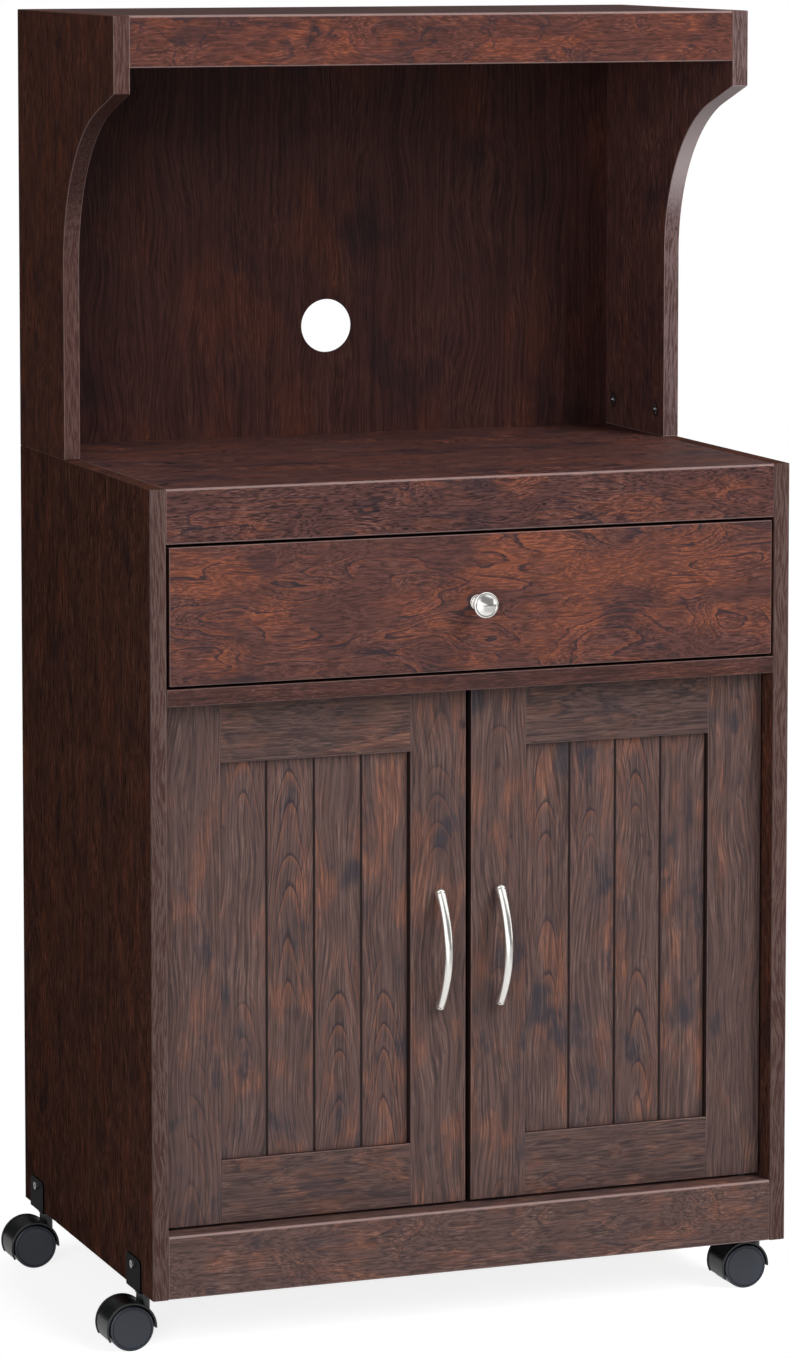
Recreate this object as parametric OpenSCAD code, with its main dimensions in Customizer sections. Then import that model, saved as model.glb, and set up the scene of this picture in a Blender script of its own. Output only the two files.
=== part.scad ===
// Microwave cart: a cabinet with one drawer and two framed doors, an open hutch for the
// oven on top of it, and four twin-wheel casters on angle plates. Millimetres.
// Cabinet axes: X to the right, Y to the back, Z up, with Z = 0 on the floor and X = Y = 0
// in the middle of the cabinet. placed() then moves every piece so that the origin lies
// on the floor under the middle of the whole cart's box.

/* [Cabinet] */
// Width over the side panels
cart_w = 600; // [520:5:720]
// Depth from the front edges to the rear of the back panels
cart_d = 390; // [380:5:480]
// Height of the side panels, from their lower edge to the worktop
cabinet_h = 706; // [640:2:820]
// Thickness of the boards
board_t = 15; // [14:0.5:18]
// Thickness of the two back panels
back_t = 3; // [2.5:0.5:5]
// Margin between a back panel's edge and the outer faces
back_margin = 2; // [1:0.5:5]
// Height of the apron that folds down from the worktop
apron_h = 48; // [40:1:70]
// Height of the lower apron, up to the bottom board's top
lower_apron_h = 55.5; // [45:0.5:80]
// Rounding of the folded front edges
fold_r = 2.5; // [1:0.5:4]
// Rounding of the side panels' front edges
panel_edge_r = 2; // [0.5:0.5:3]
// Depth of the rail between the drawer and the doors
rail_d = 70; // [60:1:120]
// Height of the shelf's top above the side panels' lower edge
shelf_h = 300; // [200:10:400]
// Distance from the shelf's front edge to the doors' backs
shelf_setback = 20; // [12:1:60]
// Clearance at each end of the shelf
shelf_gap = 1; // [0.5:0.5:3]

/* [Hutch] */
// Height of the hutch above the worktop
hutch_h = 401; // [340:1:480]
// Depth of the hutch's top
hutch_top_d = 294; // [260:2:340]
// Depth of the hutch sides where they stand on the cabinet
hutch_foot_d = 142; // [120:2:180]
// Height of the valance that folds down from the hutch's top
valance_h = 45.5; // [40:0.5:70]
// Height of the straight front edge of a hutch side
nose_h = 68; // [60:1:100]
// Radius of the cove in the front edge of a hutch side
cove_r = 150; // [80:5:170]
// Slope of the edge between the cove and the nose, in degrees
cove_slope = 18.7; // [10:0.1:30]
// Diameter of the cable hole in the hutch's back
cable_hole_d = 50; // [30:1:70]
// Height of the cable hole's centre above the worktop
cable_hole_h = 102; // [60:1:160]

/* [Drawer] */
// Height of the drawer's front
drawer_front_h = 120; // [115:1:150]
// Gap round the drawer's front
drawer_gap = 2.5; // [1.5:0.25:4]
// Height of the drawer's sides
drawer_box_h = 90; // [80:1:100]
// Length of the drawer's sides
drawer_box_l = 330; // [310:5:335]
// Distance from the front's lower edge up to the drawer's sides
drawer_box_lift = 10; // [6:1:14]
// Thickness of the drawer's sides and back
drawer_side_t = 12; // [10:0.5:14]
// Thickness of the drawer's bottom
drawer_bottom_t = 3; // [2.5:0.5:4]
// Depth of the groove that holds the drawer's bottom
drawer_groove_d = 5; // [3:0.5:6]
// Height of that groove above the sides' lower edge
drawer_groove_h = 8; // [5:1:15]
// Room for a runner on each side of the drawer
runner_w = 12.5; // [12:0.5:15]
// Height of the cabinet's runner channel
runner_h = 35; // [30:1:45]
// Length of the runners
runner_l = 300; // [280:5:305]
// Wall of the runner channels
runner_t = 1.2; // [1:0.1:1.6]
// Sliding gap between the two channels
runner_gap = 0.3; // [0.2:0.05:0.5]

/* [Doors] */
// Distance from the cabinet's front down to the doors' faces
door_recess = 20; // [15:1:30]
// Thickness of a door's frame
door_t = 15; // [14:0.5:18]
// Gap above, below and outside a door
door_gap = 2.5; // [2:0.25:4]
// Gap between the two doors
meeting_gap = 5; // [3:0.5:8]
// Width of a door's stiles
stile_w = 52; // [45:1:65]
// Height of a door's top rail
top_rail_h = 52; // [45:1:65]
// Height of a door's bottom rail
bottom_rail_h = 56; // [45:1:75]
// Thickness of a door's beaded panel
door_panel_t = 6; // [5:0.5:8]
// Distance from a frame's face down to the panel
door_panel_recess = 6; // [4:0.5:7]
// Depth of the frame's groove, which holds the panel and the rails' tenons
frame_groove_d = 8; // [6:0.5:12]
// Number of planks that the beads divide a panel into
planks = 4; // [3:1:6]
// Width of a bead groove
bead_w = 2; // [1:0.5:3]
// Depth of a bead groove
bead_d = 1.5; // [1:0.5:2.5]
// Diameter of the pins that a door turns on
pin_d = 5; // [4:0.5:6]
// Distance from a door's outer edge to its pins
pin_inset = 13; // [13:0.5:20]
// Length of a pin inside the door
pin_hold = 22; // [16:1:30]
// Length of a bush in the boards above and below
bush_l = 9; // [7:0.5:11]
// Wall of a bush
bush_t = 1.5; // [1:0.25:2]
// Thickness of a bush's flange
bush_flange_t = 1; // [0.5:0.25:1.25]

/* [Pulls and catches] */
// Distance between a handle's screws
handle_spacing = 96; // [64:32:128]
// Diameter of a handle's bar
handle_d = 7.5; // [6.5:0.5:10]
// Distance from the door to the bar's centre line at its middle
handle_reach = 22.5; // [18:0.5:30]
// Diameter of the handle and knob screws
pull_screw_d = 3.5; // [3:0.5:4]
// Depth of a screw inside a handle's foot
handle_screw_bite = 3.5; // [2.5:0.5:4]
// Diameter of the knob's head
knob_d = 24.5; // [20:0.5:30]
// Diameter of the knob's base
knob_base_d = 17; // [14:0.5:20]
// Diameter of the knob's neck
knob_neck_d = 10; // [8:0.5:13]
// Distance that the knob stands out
knob_reach = 25; // [20:1:32]
// Height of the knob's domed head
knob_head_h = 13; // [9:0.5:15]
// Depth of the screw inside the knob
knob_screw_bite = 10; // [6:1:12]
// Width of a magnetic catch
catch_w = 40; // [30:1:45]
// Height of a magnetic catch
catch_h = 12; // [10:1:16]
// Depth of a magnetic catch
catch_l = 18; // [14:1:22]
// Thickness of a catch's strike plate
strike_t = 1.2; // [1:0.1:2]

/* [Casters] */
// Height from the floor to the side panels' lower edge
caster_h = 52; // [50:1:70]
// Diameter of a wheel
wheel_d = 40; // [36:1:42]
// Width of one wheel
wheel_w = 15.5; // [12:0.5:18]
// Thickness of the web between the two wheels
web_t = 5.5; // [4:0.5:8]
// Gap between a wheel and the web
wheel_gap = 0.3; // [0.2:0.05:0.5]
// Gap between a wheel's tread and the hood
hood_gap = 1; // [0.8:0.1:1.5]
// Thickness of the hood
hood_t = 2; // [1.5:0.25:3]
// Distance from a caster's stem to its axle
trail = 15.5; // [13:0.5:18]
// Diameter of the stem
stem_d = 7; // [6:0.5:8]
// Length of the stem inside the side panel
stem_bite = 12; // [8:1:15]
// Thickness of the collar on the stem
collar_t = 3; // [2:0.5:4]
// Diameter of the axle
axle_d = 4; // [3:0.5:5]
// Distance from the cabinet's front to the front stems
front_stem_inset = 52; // [45:1:70]
// Distance from the cabinet's rear to the rear stems
rear_stem_inset = 45; // [40:1:70]
// Width of an angle plate
plate_w = 40; // [30:1:50]
// Height of an angle plate's upright leg
plate_h = 28; // [26:1:40]
// Thickness of an angle plate
plate_t = 1.5; // [1:0.25:2.5]
// Height of the plate's screw above the panel's lower edge
plate_screw_h = 21; // [20:0.5:24]

/* [Fittings] */
// Diameter of a cam lock
cam_d = 15; // [12:1:15]
// Depth of a cam lock in its board
cam_l = 12.5; // [11:0.5:13]
// Distance from a cam lock's centre to the joint
cam_reach = 24.5; // [20:0.5:34]
// Diameter of a cam lock's bolt
cam_bolt_d = 6; // [5:0.5:7]
// Length of the bolt in the other board
cam_bolt_bite = 11; // [8:0.5:12]
// Diameter of a dowel
dowel_d = 8; // [6:1:8]
// Length of a dowel
dowel_l = 20; // [16:1:22]
// Diameter of the drawer's dowels
small_dowel_d = 6; // [5:0.5:6]
// Diameter of a wood screw's shank
screw_d = 3.5; // [3:0.5:4]
// Length of a wood screw's shank
screw_l = 12; // [10:1:13]
// Diameter of a screw head
screw_head_d = 7; // [6:0.5:8]
// Height of a screw head
screw_head_h = 2; // [1.5:0.25:2.5]
// Diameter of a shelf pin
shelf_pin_d = 5; // [4:0.5:6]
// Length of a shelf pin in the side panel
shelf_pin_bite = 9; // [7:0.5:11]
// Length of a shelf pin under the shelf
shelf_pin_out = 8; // [6:0.5:12]
// Pitch of the holes for the shelf pins
shelf_hole_pitch = 64; // [32:32:96]
// Length of the nails in the back panels
nail_l = 16; // [12:1:20]
// Diameter of the nails
nail_d = 1.6; // [1.2:0.1:2]

/* [Hidden] */
$fn = 48;

walnut = "#4b2a22";
dark_walnut = "#33201c";
raw_board = "#b59a75";
beech = "#c9a877";
nickel = "#c9c8c2";
zinc = "#9fa3a6";
black_plastic = "#202329";
black_metal = "#17181b";
nylon = "#2b2725";

// Radial clearance of a piece that is pushed into its hole
push_fit = 0.05;
// Clearance of a flat piece in its groove
groove_fit = 0.1;
// Gap between a moving face and the face that it closes against
stop_gap = 0.3;
// How far a cut runs past the face that it opens
cut = 1;
// Wood left beyond the point of a screw
screw_skin = 2;

front_y = -cart_d / 2;
rear_y = cart_d / 2;
board_rear_y = rear_y - back_t;
outer_x = cart_w / 2;
inner_x = outer_x - board_t;
foot_z = caster_h;
worktop_z = foot_z + cabinet_h;
hutch_z = worktop_z + hutch_h;
bottom_z = foot_z + lower_apron_h;
hutch_front_y = rear_y - hutch_top_d;
hutch_foot_y = rear_y - hutch_foot_d;

drawer_top_z = worktop_z - apron_h - drawer_gap;
drawer_low_z = drawer_top_z - drawer_front_h;
rail_top_z = drawer_low_z - drawer_gap;
rail_low_z = rail_top_z - board_t;
box_low_z = drawer_low_z + drawer_box_lift;
box_top_z = box_low_z + drawer_box_h;
box_front_y = front_y + board_t;
box_rear_y = box_front_y + drawer_box_l;
box_outer_x = inner_x - runner_w;
box_inner_x = box_outer_x - drawer_side_t;
groove_z = box_low_z + drawer_groove_h;
// Heights of the drawer's dowels, and how deep they stand in each board
small_dowel_inset = 16;
small_dowel_zs = [groove_z + small_dowel_inset, box_top_z - small_dowel_inset];
small_dowel_front_bite = 9;
small_dowel_side_bite = 20;
small_dowel_back_bite = 15;
small_dowel_skin = 4;
small_dowel_wall_bite = drawer_side_t - small_dowel_skin;

runner_setback = 2;
runner_screw_inset = 25;
runner_low_z = box_low_z + (drawer_box_h - runner_h) / 2;
runner_front_y = box_front_y + runner_setback;
runner_rear_y = runner_front_y + runner_l;
runner_screw_ys = [runner_front_y + runner_screw_inset, (runner_front_y + runner_rear_y) / 2,
    runner_rear_y - runner_screw_inset];
drawer_screw_ys = [runner_front_y + 2 * runner_screw_inset, runner_rear_y - 2 * runner_screw_inset];
drawer_screw_l = drawer_side_t - screw_skin;
lip_x = box_outer_x + runner_t + runner_gap * 2;
inner_lip_x = inner_x - runner_t - screw_head_h - runner_gap * 3;

door_y = front_y + door_recess;
door_back_y = door_y + door_t;
door_low_z = bottom_z + door_gap;
door_top_z = rail_low_z - door_gap;
door_outer_x = inner_x - door_gap;
door_mid_z = (door_low_z + door_top_z) / 2;
frame_low_z = door_low_z + bottom_rail_h;
frame_top_z = door_top_z - top_rail_h;
frame_outer_x = door_outer_x - stile_w;
frame_inner_x = meeting_gap / 2 + stile_w;
panel_y = door_y + door_panel_recess;
plank_w = (frame_outer_x - frame_inner_x) / planks;
pin_end_gap = 1;
pin_x = door_outer_x - pin_inset;
pin_y = door_y + door_t / 2;
pin_reach = door_gap + bush_l - pin_end_gap;
bush_bore_d = pin_d + 2 * bush_t + 2 * push_fit;
bush_flange_d = pin_d + 4 * bush_t;
pull_x = meeting_gap / 2 + stile_w / 2;
knob_z = (drawer_top_z + drawer_low_z) / 2;
// Profile of the knob: its base, the flare above it, the head's underside, its rim and its dome
knob_base_h = 1.5;
knob_flare_h = 3.5;
knob_under_h = 3;
knob_rim_h = 4;
knob_head_r = knob_d / 2;
dome_h = knob_head_h - knob_rim_h - knob_under_h;
dome_r = (pow(knob_head_r, 2) + pow(dome_h, 2)) / (2 * dome_h);
// The handle's arc passes through both screws. It is drawn longer and cut off by the door's face.
handle_r = (pow(handle_spacing / 2, 2) + pow(handle_reach, 2)) / (2 * handle_reach);
handle_turn = 140;

// The catches, their pole slots and the strikes
catch_y = door_back_y + strike_t + stop_gap;
catch_screw_inset = 5;
catch_screw_l = catch_h + board_t - 2 * screw_skin;
pole_h = 2;
pole_edge = 3;
pole_inset = 10;
pole_depth = 1;
strike_z = door_top_z - catch_h / 2;
strike_margin = 3;
barb_d = 3;
barb_l = 6;

shelf_top_z = foot_z + shelf_h;
shelf_front_y = door_back_y + shelf_setback;
shelf_pin_inset = 40;
shelf_pin_ys = [shelf_front_y + shelf_pin_inset, board_rear_y - shelf_pin_inset];
shelf_pin_z = shelf_top_z - board_t - shelf_pin_d / 2;

hood_r = wheel_d / 2 + hood_gap + hood_t;
// How far a wheel's face stands out of the hood
wheel_proud = 0.8;
hood_w = web_t + 2 * (wheel_gap + wheel_w - wheel_proud);
stem_x = outer_x - board_t / 2;
stem_ys = [front_y + front_stem_inset, rear_y - rear_stem_inset];
collar_top_z = foot_z - plate_t;
boss_top_z = collar_top_z - collar_t - stop_gap;
// How far into the hood's radius the stem reaches, as a part of it
stem_end = 0.85;
stem_low_z = wheel_d / 2 + stem_end * hood_r;
// Width of the collar's rim, and the walls round the stem and the axle
collar_rim = 3.5;
boss_t = 2.5;
hub_t = 4;
collar_d = stem_d + 2 * collar_rim;
boss_d = stem_d + 2 * boss_t;
hub_r = axle_d / 2 + hub_t;
// The hood covers this much of the turn about the axle, in degrees from level on the stem's side
hood_from = -3;
hood_to = 208;
// Profile of a wheel: its rim, its web, the bevel at the back and the crown on the face
rim_t = 3;
wheel_web_t = 3.5;
wheel_bevel = 1;
crown_h = 1.5;
crown_r = 3;
axle_skin = 5;
axle_l = web_t + 2 * (wheel_gap + wheel_w - axle_skin);
plate_corner_r = 6;

// Cam locks and their slots
cam_slot_l = 0.6 * cam_d;
cam_slot_w = 1.6;
cam_slot_h = 1.2;
cam_inset = 45;
foot_cam_inset = 19;
rail_cam_inset = 22;
rail_dowel_inset = 18;
front_cam_y = front_y + cam_inset;
rear_cam_y = board_rear_y - cam_inset;
// Each row is a board's cam positions along Y, its dowel's position and its lower face
board_joints = [
    [[front_cam_y, rear_cam_y], 0, worktop_z - board_t],
    [[front_cam_y, rear_cam_y], 0, bottom_z - board_t],
    [[hutch_front_y + cam_inset, rear_cam_y], (hutch_front_y + rear_cam_y) / 2, hutch_z - board_t],
    [[front_y + rail_d - rail_cam_inset], front_y + rail_dowel_inset, rail_low_z],
];
foot_cam_ys = [hutch_foot_y + foot_cam_inset, board_rear_y - foot_cam_inset];
screw_slot_l = 0.55 * screw_head_d;
screw_slot_w = 0.9;

// The two back panels meet halfway up the worktop's thickness
back_gap = 0.5;
base_back_top_z = worktop_z - (board_t + back_gap) / 2;
hutch_back_low_z = worktop_z - (board_t - back_gap) / 2;
nail_head_d = 2.2 * nail_d;
nail_head_h = 0.6;
nail_edge = 3;
base_nail_inset = 85;
hutch_nail_inset = 60;
nail_side_x = outer_x - board_t / 2;
base_nail_zs = [for (i = [0:3]) foot_z + base_nail_inset + i * (cabinet_h - 2 * base_nail_inset) / 3];
hutch_nail_zs = [for (i = [0:2]) worktop_z + hutch_nail_inset + i * (hutch_h - 2 * hutch_nail_inset) / 2];
nail_row_xs = [for (i = [-1:1]) i * 0.6 * inner_x];
// Each row is the X and Z of a nail: side edges first, then the boards
nail_points = concat(
    [for (s = [-1, 1], z = concat(base_nail_zs, hutch_nail_zs)) [s * nail_side_x, z]],
    [for (x = nail_row_xs, z = [bottom_z - board_t / 2, base_back_top_z - nail_edge,
        hutch_back_low_z + nail_edge, hutch_z - board_t / 2]) [x, z]]
);

// The side and the Y of each caster's plate
plate_places = [for (s = [-1, 1], y = stem_ys) [s, y]];

// The cove ends where the straight slope touches it. Its radius gives way on a shallow hutch.
cove_end = 90 - cove_slope;
cove_run = hutch_top_d - hutch_foot_d;
cove_used_r = min(cove_r, 0.95 * cove_run / (1 - cos(cove_end)));
slope_run = cove_run - cove_used_r * (1 - cos(cove_end));
nose_z = hutch_z - nose_h;
cove_z = nose_z - slope_run * tan(cove_slope) - cove_used_r * sin(cove_end);

// Bounds of the whole cart, for the origin
cart_left = -stem_x - trail - hood_r;
cart_right = outer_x + plate_t + screw_head_h;
cart_front = front_y - knob_reach;
cart_rear = rear_y + nail_head_h;

module placed() {
    translate([-(cart_left + cart_right) / 2, -(cart_front + cart_rear) / 2, 0]) children();
}

module block(low, high) {
    translate(low) cube(high - low);
}

module both_sides() {
    for (side = [0, 1]) mirror([side, 0, 0]) children();
}

// The right-hand form of a piece, or its mirror image on the left
module on_side(side) {
    mirror([side < 0 ? 1 : 0, 0, 0]) children();
}

// A section drawn in Y and Z, drawn out along X between -half and half
module along_x(half) {
    rotate([90, 0, 90]) translate([0, 0, -half]) linear_extrude(2 * half) children();
}

// A cylinder between two heights along X, Y or Z from a point
module rod_x(p, d, l) { translate(p) rotate([0, 90, 0]) cylinder(d = d, h = l); }
module rod_y(p, d, l) { translate(p) rotate([-90, 0, 0]) cylinder(d = d, h = l); }
module rod_z(p, d, l) { translate(p) cylinder(d = d, h = l); }

// Cam fittings. A fitting's own axes: the bolt runs along X and the lock sinks in along Z.
module at_board_cams() {
    both_sides() for (row = board_joints, y = row[0])
        translate([inner_x - cam_reach, y, row[2]]) children();
}

module at_foot_cams() {
    both_sides() for (y = foot_cam_ys)
        translate([inner_x, y, worktop_z + cam_reach]) rotate([0, 90, 0]) children();
}

module cam_pocket() {
    rod_z([0, 0, -cut], cam_d + 2 * push_fit, cam_l + cut + push_fit);
    rod_x([0, 0, board_t / 2], cam_bolt_d + 2 * push_fit, cam_reach + cam_bolt_bite + push_fit);
}

module cross_slot(l, w) {
    square([l, w], center = true);
    square([w, l], center = true);
}

module cam_lock() {
    difference() {
        cylinder(d = cam_d, h = cam_l);
        rod_x([-cam_bolt_d / 2 - cut, 0, board_t / 2], cam_bolt_d + 2 * push_fit, cam_d);
        translate([0, 0, -cut]) linear_extrude(cut + cam_slot_h) cross_slot(cam_slot_l, cam_slot_w);
    }
}

module cam_bolt() {
    rod_x([-cam_bolt_d / 2, 0, board_t / 2], cam_bolt_d, cam_bolt_d / 2 + cam_reach + cam_bolt_bite);
}

module cam_fittings() placed() color(zinc) {
    at_board_cams() { cam_lock(); cam_bolt(); }
    at_foot_cams() { cam_lock(); cam_bolt(); }
}

// Dowels stand half in each board
module all_dowels(grow) {
    both_sides() {
        for (row = board_joints)
            rod_x([inner_x - dowel_l / 2 - grow, row[1], row[2] + board_t / 2],
                dowel_d + 2 * grow, dowel_l + 2 * grow);
        rod_z([stem_x, (foot_cam_ys[0] + foot_cam_ys[1]) / 2, worktop_z - dowel_l / 2 - grow],
            dowel_d + 2 * grow, dowel_l + 2 * grow);
    }
}

module dowels() placed() color(beech) all_dowels(0);

module at_nails() {
    for (p = nail_points) translate([p[0], rear_y, p[1]]) children();
}

module nail_hole() rod_y([0, -nail_l - push_fit, 0], nail_d + 2 * push_fit, nail_l + push_fit + cut);

module back_nails() placed() color(zinc) at_nails() {
    rod_y([0, -nail_l, 0], nail_d, nail_l);
    rod_y([0, 0, 0], nail_head_d, nail_head_h);
}

// What is drilled into every board of the carcass
module carcass_holes() {
    at_board_cams() cam_pocket();
    at_foot_cams() cam_pocket();
    all_dowels(push_fit);
    at_nails() nail_hole();
}

// A wood screw: its head's underside is at the origin and its shank runs down
module screw(shank_l) {
    rod_z([0, 0, -shank_l], screw_d, shank_l);
    difference() {
        cylinder(d = screw_head_d, h = screw_head_h);
        translate([0, 0, screw_head_h / 2]) linear_extrude(screw_head_h)
            cross_slot(screw_slot_l, screw_slot_w);
    }
}

module at_runner_screws() {
    both_sides() for (y = runner_screw_ys)
        translate([inner_x - runner_t, y, runner_low_z + runner_h / 2])
            rotate([0, -90, 0]) children();
}

module at_plate_screws() {
    for (p = plate_places) on_side(p[0])
        translate([outer_x + plate_t, p[1], foot_z + plate_screw_h]) rotate([0, 90, 0]) children();
}

module at_catch_screws() {
    both_sides() for (dx = [-1, 1])
        translate([pull_x + dx * (catch_w / 2 - catch_screw_inset), catch_y + catch_l / 2,
            rail_low_z - catch_h]) mirror([0, 0, 1]) children();
}

module screw_hole(shank_l) {
    rod_z([0, 0, -shank_l - push_fit], screw_d + 2 * push_fit, shank_l + push_fit + cut);
}

module wood_screws() placed() color(zinc) {
    at_runner_screws() screw(screw_l);
    at_plate_screws() screw(screw_l);
    at_catch_screws() screw(catch_screw_l);
}

module stem_holes() {
    both_sides() for (y = stem_ys)
        rod_z([stem_x, y, foot_z - cut], stem_d + 2 * push_fit, stem_bite + cut + push_fit);
}

module shelf_pin_holes() {
    both_sides() for (y = shelf_pin_ys, i = [-1:1])
        rod_x([inner_x - cut, y, shelf_pin_z + i * shelf_hole_pitch], shelf_pin_d + 2 * push_fit,
            shelf_pin_bite + cut + push_fit);
}

// The right-hand side panel of the cabinet
module cabinet_side() {
    difference() {
        translate([0, 0, foot_z]) linear_extrude(cabinet_h) {
            translate([inner_x, front_y + panel_edge_r])
                square([board_t, board_rear_y - front_y - panel_edge_r]);
            translate([inner_x + panel_edge_r, front_y])
                square([board_t - 2 * panel_edge_r, 2 * panel_edge_r]);
            for (x = [inner_x + panel_edge_r, outer_x - panel_edge_r])
                translate([x, front_y + panel_edge_r]) circle(panel_edge_r);
        }
        carcass_holes();
        stem_holes();
        shelf_pin_holes();
        at_runner_screws() screw_hole(screw_l);
        at_plate_screws() screw_hole(screw_l);
    }
}

module base_left_side() placed() color(dark_walnut) on_side(-1) cabinet_side();
module base_right_side() placed() color(walnut) on_side(1) cabinet_side();

// The corner that rounds a folded front edge, drawn in Y and Z
module fold_corner() {
    difference() {
        translate([-cut, -fold_r]) square([fold_r + cut, fold_r + cut]);
        translate([fold_r, -fold_r]) circle(fold_r);
    }
}

// A board and its apron meet in a mitre under the rounded front edge
module folded_board(y, z) {
    along_x(inner_x) difference() {
        polygon([[y, z], [board_rear_y, z], [board_rear_y, z - board_t], [y + board_t, z - board_t]]);
        translate([y, z]) fold_corner();
    }
}

module folded_apron(y, z, h) {
    along_x(inner_x) difference() {
        polygon([[y, z], [y + board_t, z - board_t], [y + board_t, z - h], [y, z - h]]);
        translate([y, z]) fold_corner();
    }
}

module worktop() placed() color(walnut) difference() {
    folded_board(front_y, worktop_z);
    carcass_holes();
}

module worktop_apron() placed() color(walnut) folded_apron(front_y, worktop_z, apron_h);

module bottom_board() placed() color(walnut) difference() {
    folded_board(front_y, bottom_z);
    carcass_holes();
    both_sides() rod_z([pin_x, pin_y, bottom_z - bush_l], bush_bore_d, bush_l + cut);
}

module lower_apron() placed() color(walnut) folded_apron(front_y, bottom_z, lower_apron_h);

module drawer_rail() placed() color(walnut) difference() {
    block([-inner_x, front_y, rail_low_z], [inner_x, front_y + rail_d, rail_top_z]);
    carcass_holes();
    both_sides() rod_z([pin_x, pin_y, rail_low_z - cut], bush_bore_d, bush_l + cut);
    at_catch_screws() screw_hole(catch_screw_l);
}

module base_back() placed() color(dark_walnut) difference() {
    block([-outer_x + back_margin, board_rear_y, foot_z + back_margin],
        [outer_x - back_margin, rear_y, base_back_top_z]);
    at_nails() nail_hole();
}

module shelf() placed() color(walnut) block(
    [-inner_x + shelf_gap, shelf_front_y, shelf_top_z - board_t],
    [inner_x - shelf_gap, board_rear_y - shelf_gap, shelf_top_z]);

module shelf_pins() placed() color(zinc) both_sides() for (y = shelf_pin_ys)
    rod_x([inner_x - shelf_pin_out, y, shelf_pin_z], shelf_pin_d, shelf_pin_out + shelf_pin_bite);

// A hutch side's outline in Y and Z. The front edge rises straight, sweeps forward in the
// cove and runs on in a straight slope to the nose.
module hutch_outline() {
    difference() {
        translate([hutch_front_y, worktop_z]) square([board_rear_y - hutch_front_y, hutch_h]);
        translate([hutch_front_y - cut, worktop_z - cut])
            square([cove_run + cut, cove_z - worktop_z + cut]);
        translate([hutch_foot_y - cove_used_r, cove_z]) circle(cove_used_r, $fn = 180);
        polygon([
            [hutch_foot_y - cove_used_r, cove_z - cut],
            [hutch_foot_y - cove_used_r * (1 - cos(cove_end)), cove_z + cove_used_r * sin(cove_end)],
            [hutch_front_y, nose_z],
            [hutch_front_y - cut, nose_z],
            [hutch_front_y - cut, cove_z - cut],
        ]);
    }
}

module hutch_side() {
    difference() {
        rotate([90, 0, 90]) translate([0, 0, inner_x]) linear_extrude(board_t) hutch_outline();
        carcass_holes();
    }
}

module hutch_left_side() placed() color(dark_walnut) on_side(-1) hutch_side();
module hutch_right_side() placed() color(dark_walnut) on_side(1) hutch_side();

module hutch_top() placed() color(walnut) difference() {
    folded_board(hutch_front_y, hutch_z);
    carcass_holes();
}

module hutch_valance() placed() color(walnut) folded_apron(hutch_front_y, hutch_z, valance_h);

module hutch_back() placed() color(dark_walnut) difference() {
    block([-outer_x + back_margin, board_rear_y, hutch_back_low_z],
        [outer_x - back_margin, rear_y, hutch_z - back_margin]);
    at_nails() nail_hole();
    rod_y([0, board_rear_y - cut, worktop_z + cable_hole_h], cable_hole_d, back_t + 2 * cut, $fn = 96);
}

// Runners: a channel on the cabinet's side, open inwards, and one on the drawer inside it
module cabinet_runners() placed() color(black_metal) both_sides() difference() {
    block([lip_x, runner_front_y, runner_low_z],
        [inner_x, runner_rear_y, runner_low_z + runner_h]);
    block([lip_x - cut, runner_front_y - cut, runner_low_z + runner_t],
        [inner_x - runner_t, runner_rear_y + cut, runner_low_z + runner_h - runner_t]);
    for (y = runner_screw_ys)
        rod_x([inner_x - runner_t - cut, y, runner_low_z + runner_h / 2],
            screw_d + 2 * push_fit, runner_t + 2 * cut);
}

module drawer_runners() placed() color(black_metal) both_sides() difference() {
    block([box_outer_x, runner_front_y, runner_low_z + runner_t + runner_gap],
        [inner_lip_x, runner_rear_y, runner_low_z + runner_h - runner_t - runner_gap]);
    block([box_outer_x + runner_t, runner_front_y - cut, runner_low_z + 2 * runner_t + runner_gap],
        [inner_x, runner_rear_y + cut, runner_low_z + runner_h - 2 * runner_t - runner_gap]);
    for (y = drawer_screw_ys)
        rod_x([box_outer_x - cut, y, runner_low_z + runner_h / 2],
            screw_d + 2 * push_fit, runner_t + 2 * cut);
}

module at_drawer_screws() {
    both_sides() for (y = drawer_screw_ys)
        translate([box_outer_x + runner_t, y, runner_low_z + runner_h / 2])
            rotate([0, 90, 0]) children();
}

module drawer_runner_screws() placed() color(zinc) at_drawer_screws() screw(drawer_screw_l);

// The drawer: a front, two sides and a back round a thin bottom in grooves
module bottom_groove() {
    block([-box_inner_x - drawer_groove_d, box_front_y - drawer_groove_d, groove_z],
        [box_inner_x + drawer_groove_d, box_rear_y + cut, groove_z + drawer_bottom_t + groove_fit]);
}

module small_dowels(grow) {
    both_sides() for (z = small_dowel_zs) {
        rod_y([box_outer_x - drawer_side_t / 2, box_front_y - small_dowel_front_bite - grow, z],
            small_dowel_d + 2 * grow, small_dowel_front_bite + small_dowel_side_bite + 2 * grow);
        rod_x([box_inner_x - small_dowel_back_bite - grow, box_rear_y - drawer_side_t / 2, z],
            small_dowel_d + 2 * grow, small_dowel_back_bite + small_dowel_wall_bite + 2 * grow);
    }
}

module drawer_dowels() placed() color(beech) small_dowels(0);

module drawer_front() placed() color(walnut) difference() {
    block([-inner_x + drawer_gap, front_y, drawer_low_z],
        [inner_x - drawer_gap, box_front_y, drawer_top_z]);
    bottom_groove();
    small_dowels(push_fit);
    rod_y([0, front_y - cut, knob_z], pull_screw_d + 2 * push_fit, board_t + 2 * cut);
}

module drawer_side() {
    difference() {
        block([box_inner_x, box_front_y, box_low_z], [box_outer_x, box_rear_y, box_top_z]);
        bottom_groove();
        small_dowels(push_fit);
        at_drawer_screws() screw_hole(drawer_screw_l);
    }
}

module drawer_left_side() placed() color(raw_board) on_side(-1) drawer_side();
module drawer_right_side() placed() color(raw_board) on_side(1) drawer_side();

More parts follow.
